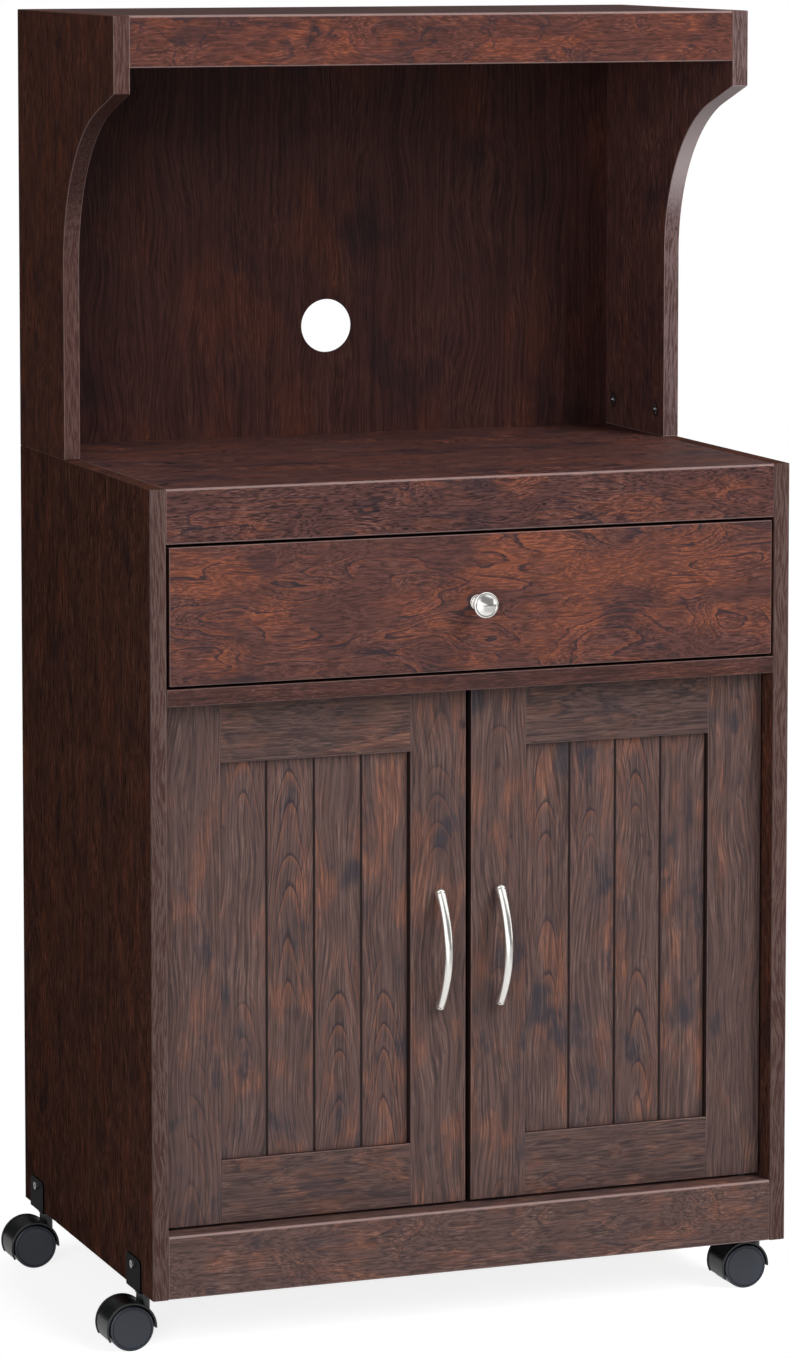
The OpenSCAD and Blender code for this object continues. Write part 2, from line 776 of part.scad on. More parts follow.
module drawer_back() placed() color(raw_board) difference() {
    block([-box_inner_x, box_rear_y - drawer_side_t, groove_z + drawer_bottom_t + groove_fit],
        [box_inner_x, box_rear_y, box_top_z]);
    small_dowels(push_fit);
}

module drawer_bottom() placed() color(raw_board) block(
    [-box_inner_x - drawer_groove_d + groove_fit, box_front_y - drawer_groove_d + groove_fit, groove_z],
    [box_inner_x + drawer_groove_d - groove_fit, box_rear_y, groove_z + drawer_bottom_t]);

// The knob is turned: a flared base, a neck and a shallow domed head. Its axis runs to -Y.
module knob_section() {
    head_y = knob_reach - knob_head_h;
    polygon([
        [0, 0],
        [knob_base_d / 2, 0],
        [knob_base_d / 2, knob_base_h],
        [knob_neck_d / 2, knob_flare_h],
        [knob_neck_d / 2, head_y],
        [knob_head_r, head_y + knob_under_h],
        [knob_head_r, head_y + knob_under_h + knob_rim_h],
        [0, head_y + knob_under_h + knob_rim_h],
    ]);
    intersection() {
        translate([0, knob_reach - dome_r]) circle(dome_r, $fn = 180);
        translate([0, knob_reach - dome_h]) square([knob_head_r, dome_h]);
    }
}

module drawer_knob() placed() color(nickel) translate([0, front_y, knob_z]) rotate([90, 0, 0])
    difference() {
        rotate_extrude($fn = 64) knob_section();
        rod_z([0, 0, -cut], pull_screw_d + 2 * push_fit, knob_screw_bite + cut + push_fit);
    }

// A pull's screw comes from behind: its head bears on the board's rear face
module pull_screw(board, bite) {
    rod_y([0, -board - bite, 0], pull_screw_d, board + bite);
    rod_y([0, 0, 0], screw_head_d, screw_head_h);
}

module knob_screw() placed() color(zinc) translate([0, box_front_y, knob_z])
    pull_screw(board_t, knob_screw_bite);

// Doors. Every module draws the right-hand door's piece.
module frame_groove(low, high) {
    block([low[0], panel_y - groove_fit / 2, low[1]],
        [high[0], panel_y + door_panel_t + groove_fit / 2, high[1]]);
}

module at_pull_screws() {
    for (s = [-1, 1]) translate([pull_x, door_back_y, door_mid_z + s * handle_spacing / 2]) children();
}

module pin_hole() {
    for (z = [door_low_z - cut, door_top_z - pin_hold - push_fit])
        rod_z([pin_x, pin_y, z], pin_d + 2 * push_fit, pin_hold + push_fit + cut);
}

module hinge_stile() {
    difference() {
        block([frame_outer_x, door_y, door_low_z], [door_outer_x, door_back_y, door_top_z]);
        frame_groove([frame_outer_x - cut, door_low_z - cut],
            [frame_outer_x + frame_groove_d, door_top_z + cut]);
        pin_hole();
    }
}

module meeting_stile() {
    difference() {
        block([meeting_gap / 2, door_y, door_low_z], [frame_inner_x, door_back_y, door_top_z]);
        frame_groove([frame_inner_x - frame_groove_d, door_low_z - cut],
            [frame_inner_x + cut, door_top_z + cut]);
        at_pull_screws()
            rod_y([0, -door_t - cut, 0], pull_screw_d + 2 * push_fit, door_t + 2 * cut);
        translate([pull_x, door_back_y, strike_z]) strike_barb(push_fit);
    }
}

// A rail stands between the stiles, with a tenon at each end in their grooves
module rail_with_tenons(low_z, high_z) {
    block([frame_inner_x, door_y, low_z], [frame_outer_x, door_back_y, high_z]);
    block([frame_inner_x - frame_groove_d + groove_fit, panel_y, low_z],
        [frame_outer_x + frame_groove_d - groove_fit, panel_y + door_panel_t, high_z]);
}

module top_rail() {
    difference() {
        rail_with_tenons(frame_top_z, door_top_z);
        frame_groove([frame_inner_x - frame_groove_d, frame_top_z - cut],
            [frame_outer_x + frame_groove_d, frame_top_z + frame_groove_d]);
    }
}

module bottom_rail() {
    difference() {
        rail_with_tenons(door_low_z, frame_low_z);
        frame_groove([frame_inner_x - frame_groove_d, frame_low_z - frame_groove_d],
            [frame_outer_x + frame_groove_d, frame_low_z + cut]);
    }
}

module beaded_panel() {
    difference() {
        block([frame_inner_x - frame_groove_d + groove_fit, panel_y,
                frame_low_z - frame_groove_d + groove_fit],
            [frame_outer_x + frame_groove_d - groove_fit, panel_y + door_panel_t,
                frame_top_z + frame_groove_d - groove_fit]);
        for (i = [1:planks - 1])
            block([frame_inner_x + i * plank_w - bead_w / 2, panel_y - cut, frame_low_z - frame_groove_d],
                [frame_inner_x + i * plank_w + bead_w / 2, panel_y + bead_d,
                    frame_top_z + frame_groove_d]);
    }
}

// A handle is a round bar bent to one arc, which is cut off flat by the door's face
module handle() {
    difference() {
        intersection() {
            translate([pull_x, door_y + handle_r - handle_reach, door_mid_z]) rotate([0, -90, 0])
                rotate([0, 0, 270 - handle_turn / 2]) rotate_extrude(angle = handle_turn, $fn = 180)
                    translate([handle_r, 0]) circle(d = handle_d, $fn = 32);
            block([pull_x - handle_d, door_y - handle_reach - handle_d, door_mid_z - handle_spacing],
                [pull_x + handle_d, door_y, door_mid_z + handle_spacing]);
        }
        at_pull_screws()
            rod_y([0, -door_t - handle_screw_bite - push_fit, 0], pull_screw_d + 2 * push_fit, door_t);
    }
}

module door_pins() {
    for (z = [door_low_z - pin_reach, door_top_z - pin_hold])
        rod_z([pin_x, pin_y, z], pin_d, pin_reach + pin_hold);
}

// A strike is a plate on the door's back with a barb that is pushed into the stile
module strike_barb(grow) {
    rod_y([0, -barb_l - grow, 0], barb_d + 2 * grow, barb_l + grow + strike_t / 2);
}

module strike() {
    translate([pull_x, door_back_y, strike_z]) {
        strike_barb(0);
        block([-catch_w / 2 + strike_margin, 0, -catch_h / 2],
            [catch_w / 2 - strike_margin, strike_t, catch_h / 2]);
    }
}

module left_door_hinge_stile() placed() color(walnut) on_side(-1) hinge_stile();
module left_door_meeting_stile() placed() color(walnut) on_side(-1) meeting_stile();
module left_door_top_rail() placed() color(walnut) on_side(-1) top_rail();
module left_door_bottom_rail() placed() color(walnut) on_side(-1) bottom_rail();
module left_door_panel() placed() color(walnut) on_side(-1) beaded_panel();
module left_door_handle() placed() color(nickel) on_side(-1) handle();
module left_handle_screws() placed() color(zinc) on_side(-1)
    at_pull_screws() pull_screw(door_t, handle_screw_bite);
module left_door_pins() placed() color(zinc) on_side(-1) door_pins();
module left_door_strike() placed() color(zinc) on_side(-1) strike();

module right_door_hinge_stile() placed() color(walnut) on_side(1) hinge_stile();
module right_door_meeting_stile() placed() color(walnut) on_side(1) meeting_stile();
module right_door_top_rail() placed() color(walnut) on_side(1) top_rail();
module right_door_bottom_rail() placed() color(walnut) on_side(1) bottom_rail();
module right_door_panel() placed() color(walnut) on_side(1) beaded_panel();
module right_door_handle() placed() color(nickel) on_side(1) handle();
module right_handle_screws() placed() color(zinc) on_side(1)
    at_pull_screws() pull_screw(door_t, handle_screw_bite);
module right_door_pins() placed() color(zinc) on_side(1) door_pins();
module right_door_strike() placed() color(zinc) on_side(1) strike();

// A catch hangs under the rail, just behind the strike. Two slots show its magnet's poles.
module magnetic_catches() placed() color(black_plastic) both_sides() difference() {
    block([pull_x - catch_w / 2, catch_y, rail_low_z - catch_h],
        [pull_x + catch_w / 2, catch_y + catch_l, rail_low_z]);
    for (z = [pole_edge, catch_h - pole_edge - pole_h])
        block([pull_x - catch_w / 2 + pole_inset, catch_y - cut, rail_low_z - catch_h + z],
            [pull_x + catch_w / 2 - pole_inset, catch_y + pole_depth, rail_low_z - catch_h + z + pole_h]);
    at_catch_screws() screw_hole(catch_screw_l);
}

// A bush lines the hole that a door's pin turns in. Its flange lies in the door's gap.
module door_bush() {
    difference() {
        union() {
            rod_z([0, 0, -bush_l + push_fit], pin_d + 2 * bush_t, bush_l);
            cylinder(d = bush_flange_d, h = bush_flange_t);
        }
        rod_z([0, 0, -bush_l - cut], pin_d + 2 * push_fit, bush_l + bush_flange_t + 2 * cut);
    }
}

module door_bushes() placed() color(nylon) both_sides() {
    translate([pin_x, pin_y, bottom_z]) door_bush();
    translate([pin_x, pin_y, rail_low_z]) mirror([0, 0, 1]) door_bush();
}

// The upright leg of an angle plate in Y and Z, with its two upper corners rounded
module plate_outline() {
    translate([-plate_w / 2, -plate_t]) square([plate_w, plate_h + plate_t - plate_corner_r]);
    translate([-plate_w / 2 + plate_corner_r, 0]) square([plate_w - 2 * plate_corner_r, plate_h]);
    for (s = [-1, 1]) translate([s * (plate_w / 2 - plate_corner_r), plate_h - plate_corner_r])
        circle(plate_corner_r);
}

// Casters. An angle plate wraps the side panel's lower edge and carries the stem.
module caster_plates() placed() color(black_metal) for (p = plate_places) on_side(p[0])
    difference() {
        union() {
            block([outer_x - board_t, p[1] - plate_w / 2, foot_z - plate_t],
                [outer_x + plate_t, p[1] + plate_w / 2, foot_z]);
            translate([outer_x, p[1], foot_z]) rotate([90, 0, 90]) linear_extrude(plate_t)
                plate_outline();
        }
        rod_z([stem_x, p[1], foot_z - plate_t - cut], stem_d + 2 * push_fit, plate_t + 2 * cut);
        rod_x([outer_x - cut, p[1], foot_z + plate_screw_h], screw_d + 2 * push_fit, plate_t + 2 * cut);
    }

module caster_stems() placed() color(zinc) both_sides() for (y = stem_ys) translate([stem_x, y, 0]) {
    rod_z([0, 0, stem_low_z], stem_d, foot_z + stem_bite - stem_low_z);
    rod_z([0, 0, collar_top_z - collar_t], collar_d, collar_t);
}

// Caster places: side is -1 on the left, row is 0 in front. The wheels trail to the left
// on both sides, as they stand, so nothing here is mirrored.
module at_caster(side, row) {
    placed() translate([side * stem_x, stem_ys[row], 0]) children();
}

// A section drawn in X and Z about the axle, drawn out along Y between -half and half
module along_axle(half) {
    translate([-trail, half, wheel_d / 2]) rotate([90, 0, 0]) linear_extrude(2 * half) children();
}

// The open part of the hood, seen along the axle
module hood_mouth() {
    reach = 3 * hood_r;
    polygon(concat([[0, 0]], [for (i = [0:4]) let (a = hood_to + i * (360 + hood_from - hood_to) / 4)
        reach * [cos(a), sin(a)]]));
}

module hood() {
    difference() {
        union() {
            along_axle(hood_w / 2) difference() {
                circle(hood_r, $fn = 96);
                circle(hood_r - hood_t, $fn = 96);
                hood_mouth();
            }
            along_axle(web_t / 2) {
                difference() {
                    circle(hood_r - hood_t / 2, $fn = 96);
                    hood_mouth();
                }
                circle(hub_r);
            }
            difference() {
                rod_z([0, 0, wheel_d / 2], boss_d, boss_top_z - wheel_d / 2);
                along_axle(hood_w) circle(hood_r - hood_t / 2, $fn = 96);
            }
        }
        rod_z([0, 0, stem_low_z - stop_gap], stem_d + 2 * push_fit, caster_h);
        along_axle(hood_w) circle(d = axle_d + 2 * push_fit);
    }
}

// A wheel is a cup with a hub. Its outer face is crowned.
module wheel() {
    difference() {
        rotate_extrude($fn = 96) polygon([
            [0, 0],
            [wheel_d / 2 - wheel_bevel, 0],
            [wheel_d / 2, wheel_bevel],
            [wheel_d / 2, wheel_w - crown_h],
            [wheel_d / 2 - crown_r / 4, wheel_w - crown_h / 2],
            [wheel_d / 2 - crown_r, wheel_w],
            [0, wheel_w],
        ]);
        difference() {
            rod_z([0, 0, -cut], wheel_d - 2 * rim_t, wheel_w - wheel_web_t + cut);
            rod_z([0, 0, -2 * cut], 2 * hub_r, wheel_w);
        }
        rod_z([0, 0, -cut], axle_d + 2 * push_fit, wheel_w - axle_skin + push_fit + cut);
    }
}

module wheels() {
    translate([-trail, 0, wheel_d / 2]) {
        for (s = [0, 1]) mirror([0, s, 0])
            translate([0, web_t / 2 + wheel_gap, 0]) rotate([-90, 0, 0]) wheel();
        rod_y([0, -axle_l / 2, 0], axle_d, axle_l);
    }
}

module front_left_hood() at_caster(-1, 0) color(black_plastic) hood();
module front_right_hood() at_caster(1, 0) color(black_plastic) hood();
module rear_left_hood() at_caster(-1, 1) color(black_plastic) hood();
module rear_right_hood() at_caster(1, 1) color(black_plastic) hood();
module front_left_wheels() at_caster(-1, 0) color(black_plastic) wheels();
module front_right_wheels() at_caster(1, 0) color(black_plastic) wheels();
module rear_left_wheels() at_caster(-1, 1) color(black_plastic) wheels();
module rear_right_wheels() at_caster(1, 1) color(black_plastic) wheels();

base_left_side();
base_right_side();
worktop();
worktop_apron();
drawer_rail();
bottom_board();
lower_apron();
base_back();
shelf();
shelf_pins();
hutch_left_side();
hutch_right_side();
hutch_top();
hutch_valance();
hutch_back();
cam_fittings();
dowels();
back_nails();
cabinet_runners();
wood_screws();
magnetic_catches();
door_bushes();
caster_plates();
caster_stems();
drawer_front();
drawer_left_side();
drawer_right_side();
drawer_back();
drawer_bottom();
drawer_runners();
drawer_runner_screws();
drawer_dowels();
drawer_knob();
knob_screw();
left_door_hinge_stile();
left_door_meeting_stile();
left_door_top_rail();
left_door_bottom_rail();
left_door_panel();
left_door_handle();
left_handle_screws();
left_door_pins();
left_door_strike();
right_door_hinge_stile();
right_door_meeting_stile();
right_door_top_rail();
right_door_bottom_rail();
right_door_panel();
right_door_handle();
right_handle_screws();
right_door_pins();
right_door_strike();
front_left_hood();
front_right_hood();
rear_left_hood();
rear_right_hood();
front_left_wheels();
front_right_wheels();
rear_left_wheels();
rear_right_wheels();
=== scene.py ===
import math

import bmesh
import bpy
import numpy as np
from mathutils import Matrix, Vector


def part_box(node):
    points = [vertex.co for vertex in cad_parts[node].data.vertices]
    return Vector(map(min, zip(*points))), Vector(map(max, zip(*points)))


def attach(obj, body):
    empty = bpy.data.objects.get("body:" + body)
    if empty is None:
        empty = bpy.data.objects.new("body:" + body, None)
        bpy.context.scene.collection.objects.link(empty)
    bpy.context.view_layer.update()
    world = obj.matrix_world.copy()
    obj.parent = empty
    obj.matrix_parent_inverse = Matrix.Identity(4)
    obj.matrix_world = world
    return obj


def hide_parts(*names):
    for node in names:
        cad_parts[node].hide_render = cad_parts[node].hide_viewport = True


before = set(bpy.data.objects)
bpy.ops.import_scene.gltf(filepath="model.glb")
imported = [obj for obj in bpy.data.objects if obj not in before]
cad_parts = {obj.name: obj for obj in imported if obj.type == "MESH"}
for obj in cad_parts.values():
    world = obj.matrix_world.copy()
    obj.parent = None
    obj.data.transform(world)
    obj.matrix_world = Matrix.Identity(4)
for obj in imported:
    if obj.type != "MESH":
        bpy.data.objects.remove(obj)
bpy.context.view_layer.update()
print("frame loaded:", len(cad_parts), "nodes")

# Everything is in metres. X runs to the right, Y to the back and Z up.
across, along, up = 0, 1, 2
flatStep = 0.0002      # width of the strip that keeps a flat face flat beside a rounded edge
boardEdge = 0.0005     # rounding of an ordinary board edge
cornerRound = 0.0009   # rounding of a board's own corners, a little more than its edges


def nodeBox(name):
    low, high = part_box(name)
    return np.array(low), np.array(high)


def otherAxes(axis):
    return [i for i in range(3) if i != axis]


# A shape is a pair: an array of points, and faces that number them.

def joined(*shapes):
    # Several shapes as one.
    points, faces, start = [], [], 0
    for shapePoints, shapeFaces in shapes:
        points.append(shapePoints)
        faces += [[start + corner for corner in face] for face in shapeFaces]
        start += len(shapePoints)
    return np.concatenate(points), faces


def gridFaces(rows, columns):
    # Quads between the points of a grid whose columns run round in a ring.
    row = np.arange(rows - 1)[:, None]
    column = np.arange(columns)[None, :]
    nextColumn = (column + 1) % columns
    corners = [row * columns + column, row * columns + nextColumn,
               (row + 1) * columns + nextColumn, (row + 1) * columns + column]
    return np.stack(corners, -1).reshape(-1, 4).tolist()


def capped(grid):
    # A grid of rings as a shape, with a face across its first ring and its last.
    rows, columns = grid.shape[:2]
    caps = [list(range(columns))[::-1], list(range((rows - 1) * columns, rows * columns))]
    return grid.reshape(-1, 3), gridFaces(rows, columns) + caps


def roundedOutline(corners, radii, steps=5):
    # Each corner becomes an arc that touches both its sides: the outward normal turns evenly from
    # one side's to the next's, and a point is the arc's centre plus the radius times that normal.
    # Corners run anticlockwise. Gives the points and their normals.
    corners = np.asarray(corners, float)
    radii = np.broadcast_to(np.asarray(radii, float), len(corners))[:, None]
    into = corners - np.roll(corners, 1, 0)
    into /= np.linalg.norm(into, axis=1, keepdims=True)
    out = np.roll(into, -1, 0)
    cross = into[:, 0] * out[:, 1] - into[:, 1] * out[:, 0]
    turn = np.arctan2(cross, (into * out).sum(1))[:, None]
    side = np.sign(turn)[:, :, None]
    first = corners - into * radii * np.tan(np.abs(turn) / 2)
    firstNormal = np.stack([into[:, 1], -into[:, 0]], 1)
    centre = (first - firstNormal * radii * np.sign(turn))[:, None, :]
    angle = np.arctan2(firstNormal[:, 1], firstNormal[:, 0])[:, None]
    angle = angle + turn * np.linspace(0, 1, steps + 1)
    normals = np.stack([np.cos(angle), np.sin(angle)], -1)
    points = centre + side * radii[:, :, None] * normals
    points = np.concatenate([points[:, :1] - into[:, None] * flatStep, points,
                             points[:, -1:] + out[:, None] * flatStep], 1)
    normals = np.concatenate([normals[:, :1], normals, normals[:, -1:]], 1)
    return points.reshape(-1, 2), normals.reshape(-1, 2)


def slab(outline, axis, low, high, edge=boardEdge, steps=4):
    # An outline carried along an axis from low to high. Near both ends it is drawn in along its
    # normals by a quarter circle: the inset is edge times one minus the cosine, the depth edge
    # times one minus the sine.
    points, normals = outline
    turn = np.linspace(0, math.pi / 2, steps + 1)
    inset = np.concatenate([[0], edge * (1 - np.cos(turn)), [edge + flatStep]])
    depth = np.concatenate([[edge + flatStep], edge * (1 - np.sin(turn)), [0]])
    inset = np.concatenate([inset[::-1], inset])
    place = np.concatenate([low + depth[::-1], high - depth])
    flat = points[None] - normals[None] * inset[:, None, None]
    grid = np.insert(flat, axis, np.broadcast_to(place[:, None], flat.shape[:2]), axis=2)
    return capped(grid)


def rectangle(low, high):
    return [(low[0], low[1]), (high[0], low[1]), (high[0], high[1]), (low[0], high[1])]


def board(low, high, axis=along, edge=boardEdge, corner=cornerRound):
    # A plain board: a rectangle carried along one axis, with every edge rounded.
    kept = otherAxes(axis)
    outline = roundedOutline(rectangle(low[kept], high[kept]), corner)
    return slab(outline, axis, low[axis], high[axis], edge)


def turned(profile, centre, axis, count=96):
    # A surface of revolution. The profile gives radius and height; a point is the centre, plus the
    # height along the axis, plus the radius times the turn's cosine and sine on the other two.
    radius, height = np.asarray(profile, float).T
    turn = np.arange(count) / count * 2 * math.pi
    plane = np.stack([radius[:, None] * np.cos(turn), radius[:, None] * np.sin(turn)], -1)
    grid = np.insert(plane, axis, np.broadcast_to(height[:, None], plane.shape[:2]), axis=2)
    return grid.reshape(-1, 3) + np.asarray(centre), gridFaces(len(radius), count)


def arcPoints(centre, radius, start, stop, steps):
    # Points on a circle's arc, from one angle to another in degrees.
    angle = np.radians(np.linspace(start, stop, steps + 1))
    return np.stack([centre[0] + radius * np.cos(angle), centre[1] + radius * np.sin(angle)], -1)


def rod(low, high, axis, radius, count=32):
    # A plain cylinder about a point's axis, from low to high along it.
    middle = np.zeros(3)
    kept = otherAxes(axis)
    middle[kept] = np.asarray(low)[kept]
    profile = [(0, low[axis]), (radius, low[axis]), (radius, high[axis]), (0, high[axis])]
    return turned(profile, middle, axis, count)


mergeDistance = 1e-6   # points closer than this become one
sliver = 1e-7          # edges shorter than this go
smoothLimit = 35       # edges that turn by more than this, in degrees, stay sharp


def link(name, data):
    result = bpy.data.objects.new(name, data)
    bpy.context.scene.collection.objects.link(result)
    return result


def makeObject(name, shape, smoothAngle=smoothLimit):
    points, faces = shape
    mesh = bpy.data.meshes.new(name)
    mesh.from_pydata(np.asarray(points).tolist(), [], faces)
    shell = bmesh.new()
    shell.from_mesh(mesh)
    bmesh.ops.remove_doubles(shell, verts=shell.verts, dist=mergeDistance)
    bmesh.ops.dissolve_degenerate(shell, edges=shell.edges, dist=sliver)
    bmesh.ops.recalc_face_normals(shell, faces=shell.faces)
    shell.to_mesh(mesh)
    shell.free()
    mesh.shade_smooth()
    mesh.set_sharp_from_angle(angle=math.radians(smoothAngle))
    return link(name, mesh)


def drilled(result, holes):
    # Cuts round holes, given as shapes, out of a finished board.
    cutter = makeObject("cutter", joined(*holes))
    cut = result.modifiers.new("holes", "BOOLEAN")
    cut.operation, cut.solver, cut.object = "DIFFERENCE", "EXACT", cutter
    finished = result.evaluated_get(bpy.context.evaluated_depsgraph_get())
    mesh = bpy.data.meshes.new_from_object(finished)
    result.modifiers.clear()
    result.data = mesh
    mesh.set_sharp_from_angle(angle=math.radians(smoothLimit))
    bpy.data.objects.remove(cutter)
    return result


def dress(result, material, body, slot, *nodes):
    # Finishes a piece: its material, its body and the nodes that it stands for. The slot is not
    # used.
    result.data.materials.clear()
    result.data.materials.append(material)
    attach(result, body)
    if nodes:
        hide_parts(*nodes)
    return result


class Socket:
    # One output of a node. Sums and products of sockets and numbers add the Math nodes they need.
    def __init__(self, graph, socket):
        self.graph, self.socket = graph, socket

    def maths(self, operation, *values):
        inputs = dict(enumerate(values))
        return self.graph.node("ShaderNodeMath", {"operation": operation}, inputs)[0]

    def __add__(self, other): return self.maths("ADD", self, other)
    def __radd__(self, other): return self.maths("ADD", other, self)
    def __sub__(self, other): return self.maths("SUBTRACT", self, other)
    def __rsub__(self, other): return self.maths("SUBTRACT", other, self)
    def __mul__(self, other): return self.maths("MULTIPLY", self, other)
    def __rmul__(self, other): return self.maths("MULTIPLY", other, self)
    def __truediv__(self, other): return self.maths("DIVIDE", self, other)
    def __pow__(self, other): return self.maths("POWER", self, other)
    def fraction(self): return self.maths("FRACT", self)
    def whole(self): return self.maths("FLOOR", self)
    def absolute(self): return self.maths("ABSOLUTE", self)


class Outputs:
    # A node's outputs, by name or number, each as a Socket.
    def __init__(self, graph, node):
        self.graph, self.node = graph, node

    def __getitem__(self, key):
        return Socket(self.graph, self.node.outputs[key])


class Graph:
    # A material's or the world's node tree, emptied, with one method that adds any node.
    def __init__(self, tree):
        self.tree = tree
        tree.nodes.clear()

    def node(self, kind, settings=None, values=None):
        new = self.tree.nodes.new(kind)
        for name, value in (settings or {}).items():
            if name == "stops":
                self.setStops(new.color_ramp, value)
            else:
                setattr(new, name, value)
        for key, value in (values or {}).items():
            if isinstance(value, Socket):
                self.tree.links.new(value.socket, new.inputs[key])
            else:
                new.inputs[key].default_value = value
        return Outputs(self, new)

    def setStops(self, ramp, stops):
        while len(ramp.elements) > 1:
            ramp.elements.remove(ramp.elements[-1])
        for index, (place, colour) in enumerate(stops):
            element = ramp.elements[0] if index == 0 else ramp.elements.new(place)
            element.position, element.color = place, colour

    def parts(self, output="Object"):
        # The three parts of the place on the object, or of its normal.
        source = self.node("ShaderNodeTexCoord")[output]
        return self.node("ShaderNodeSeparateXYZ", {}, {0: source})

    def smooth(self, value, low, high):
        # 0 up to low, 1 from high, and a smooth step between.
        return self.node("ShaderNodeMapRange", {"interpolation_type": "SMOOTHSTEP"},
                         {"Value": value, "From Min": low, "From Max": high})["Result"]

    def mix(self, factor, first, second, blend="MIX"):
        return self.node("ShaderNodeMix", {"data_type": "RGBA", "blend_type": blend},
                         {0: factor, 6: first, 7: second})[2]

    def vector(self, x, y, z):
        return self.node("ShaderNodeCombineXYZ", {}, {0: x, 1: y, 2: z})[0]

    def noise(self, place, detail=2.0, roughness=0.5, scale=1.0):
        values = {"Vector": place, "Scale": scale, "Detail": detail, "Roughness": roughness}
        return self.node("ShaderNodeTexNoise", {}, values)["Fac"]

    def bump(self, height, relief):
        strength, distance = relief
        values = {"Height": height, "Strength": strength, "Distance": distance}
        return self.node("ShaderNodeBump", {}, values)["Normal"]

    def emission(self, strength):
        return self.node("ShaderNodeEmission", {}, {"Strength": strength})["Emission"]

    def finish(self, values):
        shader = self.node("ShaderNodeBsdfPrincipled", {}, values)
        self.node("ShaderNodeOutputMaterial", {}, {"Surface": shader["BSDF"]})


def newMaterial(name):
    material = bpy.data.materials.new(name)
    material.use_nodes = True
    return material, Graph(material.node_tree)


def colour(red, green, blue):
    # A colour as a picture editor shows it, from 0 to 255, turned into linear light.
    value = np.array([red, green, blue]) / 255
    linear = np.where(value <= 0.04045, value / 12.92, ((value + 0.055) / 1.055) ** 2.4)
    return (*linear.tolist(), 1.0)


woodLook = {
    "dark": colour(36, 26, 28),         # late wood and pores
    "smokeColour": colour(40, 36, 43),  # bluish
    "groundLow": colour(67, 43, 40),
    "groundHigh": colour(95, 61, 56),
    "warm": colour(140, 94, 82),        # light strokes
    "emberColour": colour(162, 90, 60),
    # pale colour of the edges: wear of the foil and a painted highlight
    "wornColour": colour(176, 150, 146),
    # dark of the painted shade in plank grooves, under the sweep and on faces turned from the front
    "groove": colour(26, 13, 12),
    "ripple": 0.0030,            # how far the small waves move the grain
    "ringPitch": 0.0075,         # from one ring to the next across the grain
    "ringJitter": 0.4,           # how many rings a streak moves
    "archPitch": 0.038,          # from one arch to the next along the grain
    "archPull": 3.6,             # how many arches lie between a board's middle and its edge
    "archBulge": 1.6,            # how many arches a bulge moves
    "archJitter": 0.15,
    "archDrift": (0.090, 2.2),   # over this length the arches crowd and thin out by so many
    "plankStep": 0.731,          # how far the print is moved from plank to plank
    "depthStep": 0.37,           # the part of that which goes through the board
    "plankGroove": (0.0017, 0.0009),
    "grit": 900.0,               # fineness of the foil's own texture
    "relief": (0.30, 0.0002),    # strength and depth
}
woodNoise = {
    # length and width of a feature, its place in the noise, detail and roughness
    "bend": (0.130, 0.052, 3.1, 1.0, 0.50),       # waves in the grain
    "ripple": (0.026, 0.012, 9.4, 2.0, 0.50),
    "smoke": (0.060, 0.036, 11.7, 3.0, 0.55),
    "ember": (0.070, 0.028, 27.3, 3.0, 0.60),     # orange patches
    "glow": (0.035, 0.018, 33.9, 2.0, 0.50),      # patches of lively strokes
    "knot": (0.034, 0.022, 17.9, 3.0, 0.60),
    "streak": (0.075, 0.0022, 8.3, 3.0, 0.62),
    "stroke": (0.0100, 0.0012, 1.7, 2.5, 0.60),
    "ring": (0.120, 0.030, 5.9, 1.0, 0.40),       # bulges that bend the rings
    "arch": (0.190, 0.060, 61.3, 1.0, 0.50),      # places where arches show
    "vein": (0.070, 0.045, 41.3, 3.0, 0.60),      # thin cracks in the print
}
woodMask = {
    # where each mask starts and where it is full
    "smoke": (0.54, 0.70), "knot": (0.68, 0.80), "ember": (0.50, 0.66), "glow": (0.42, 0.64),
    "light stroke": (0.52, 0.63), "dark stroke": (0.47, 0.35), "ground": (0.34, 0.66),
    "arch place": (0.46, 0.58), "ring place": (0.42, 0.56),
    "ring start": (0.0, 0.03), "ring end": (0.20, 0.03), "ring fill": (0.60, 1.0),
    "vein": (0.014, 0.004), "vein place": (0.48, 0.54), "band stroke": (0.56, 0.44),
    "front": (-0.2, -0.45), "turned away": (0.5, 0.2), "worn": (0.10, 0.40),
}
woodShare = {
    # how much of each layer covers what lies below it
    "smoke": 0.75, "light": 0.12, "light glow": 0.40, "light in smoke": 0.6, "ember": 0.14,
    "ring fill": 0.18, "ember stroke": 0.50, "ring": 0.75, "knot": 0.9, "band stroke": 0.75,
    "stroke gloss": 0.16, "grit gloss": 0.10,
    "stroke relief": 0.8, "streak relief": 0.5, "grit relief": 0.2, "ring relief": 0.3,
}
boardLook = {
    # what a board may set for itself
    "smoke": 0.5,        # smoke and knots
    "ember": 0.5,        # orange patches
    "rings": 0.3,
    "veins": 0.0,
    "strokes": 1.0,
    "deep": 0.5,         # how dark the dark strokes are
    "worn": 0.2,         # how pale the edges are
    "tint": (1, 1, 1),
    # the rest of the colour on those faces goes to painted shade
    "reveal": 1.0,       # how much colour is left on faces that don't look to the front
    "roughness": 0.42,
    "specular": 0.25,
    "bend": 0.030,       # how far the waves move the grain
    "spread": 1.0,       # size of the patches
    "calm": 1.0,         # length of the strokes
    "whirl": 3.0,        # how many rings a bulge moves
    "arch": None,        # the middle and half the width, for a board with arches
    "planks": None,      # the start and the width of its planks
    "edging": None,      # colour of the edge band on the front
    # painted shade on faces that look down, under the sweep
    "cove": (woodLook["groove"], 0.40, -0.24, -0.46),   # colour, share and range under the sweep
}


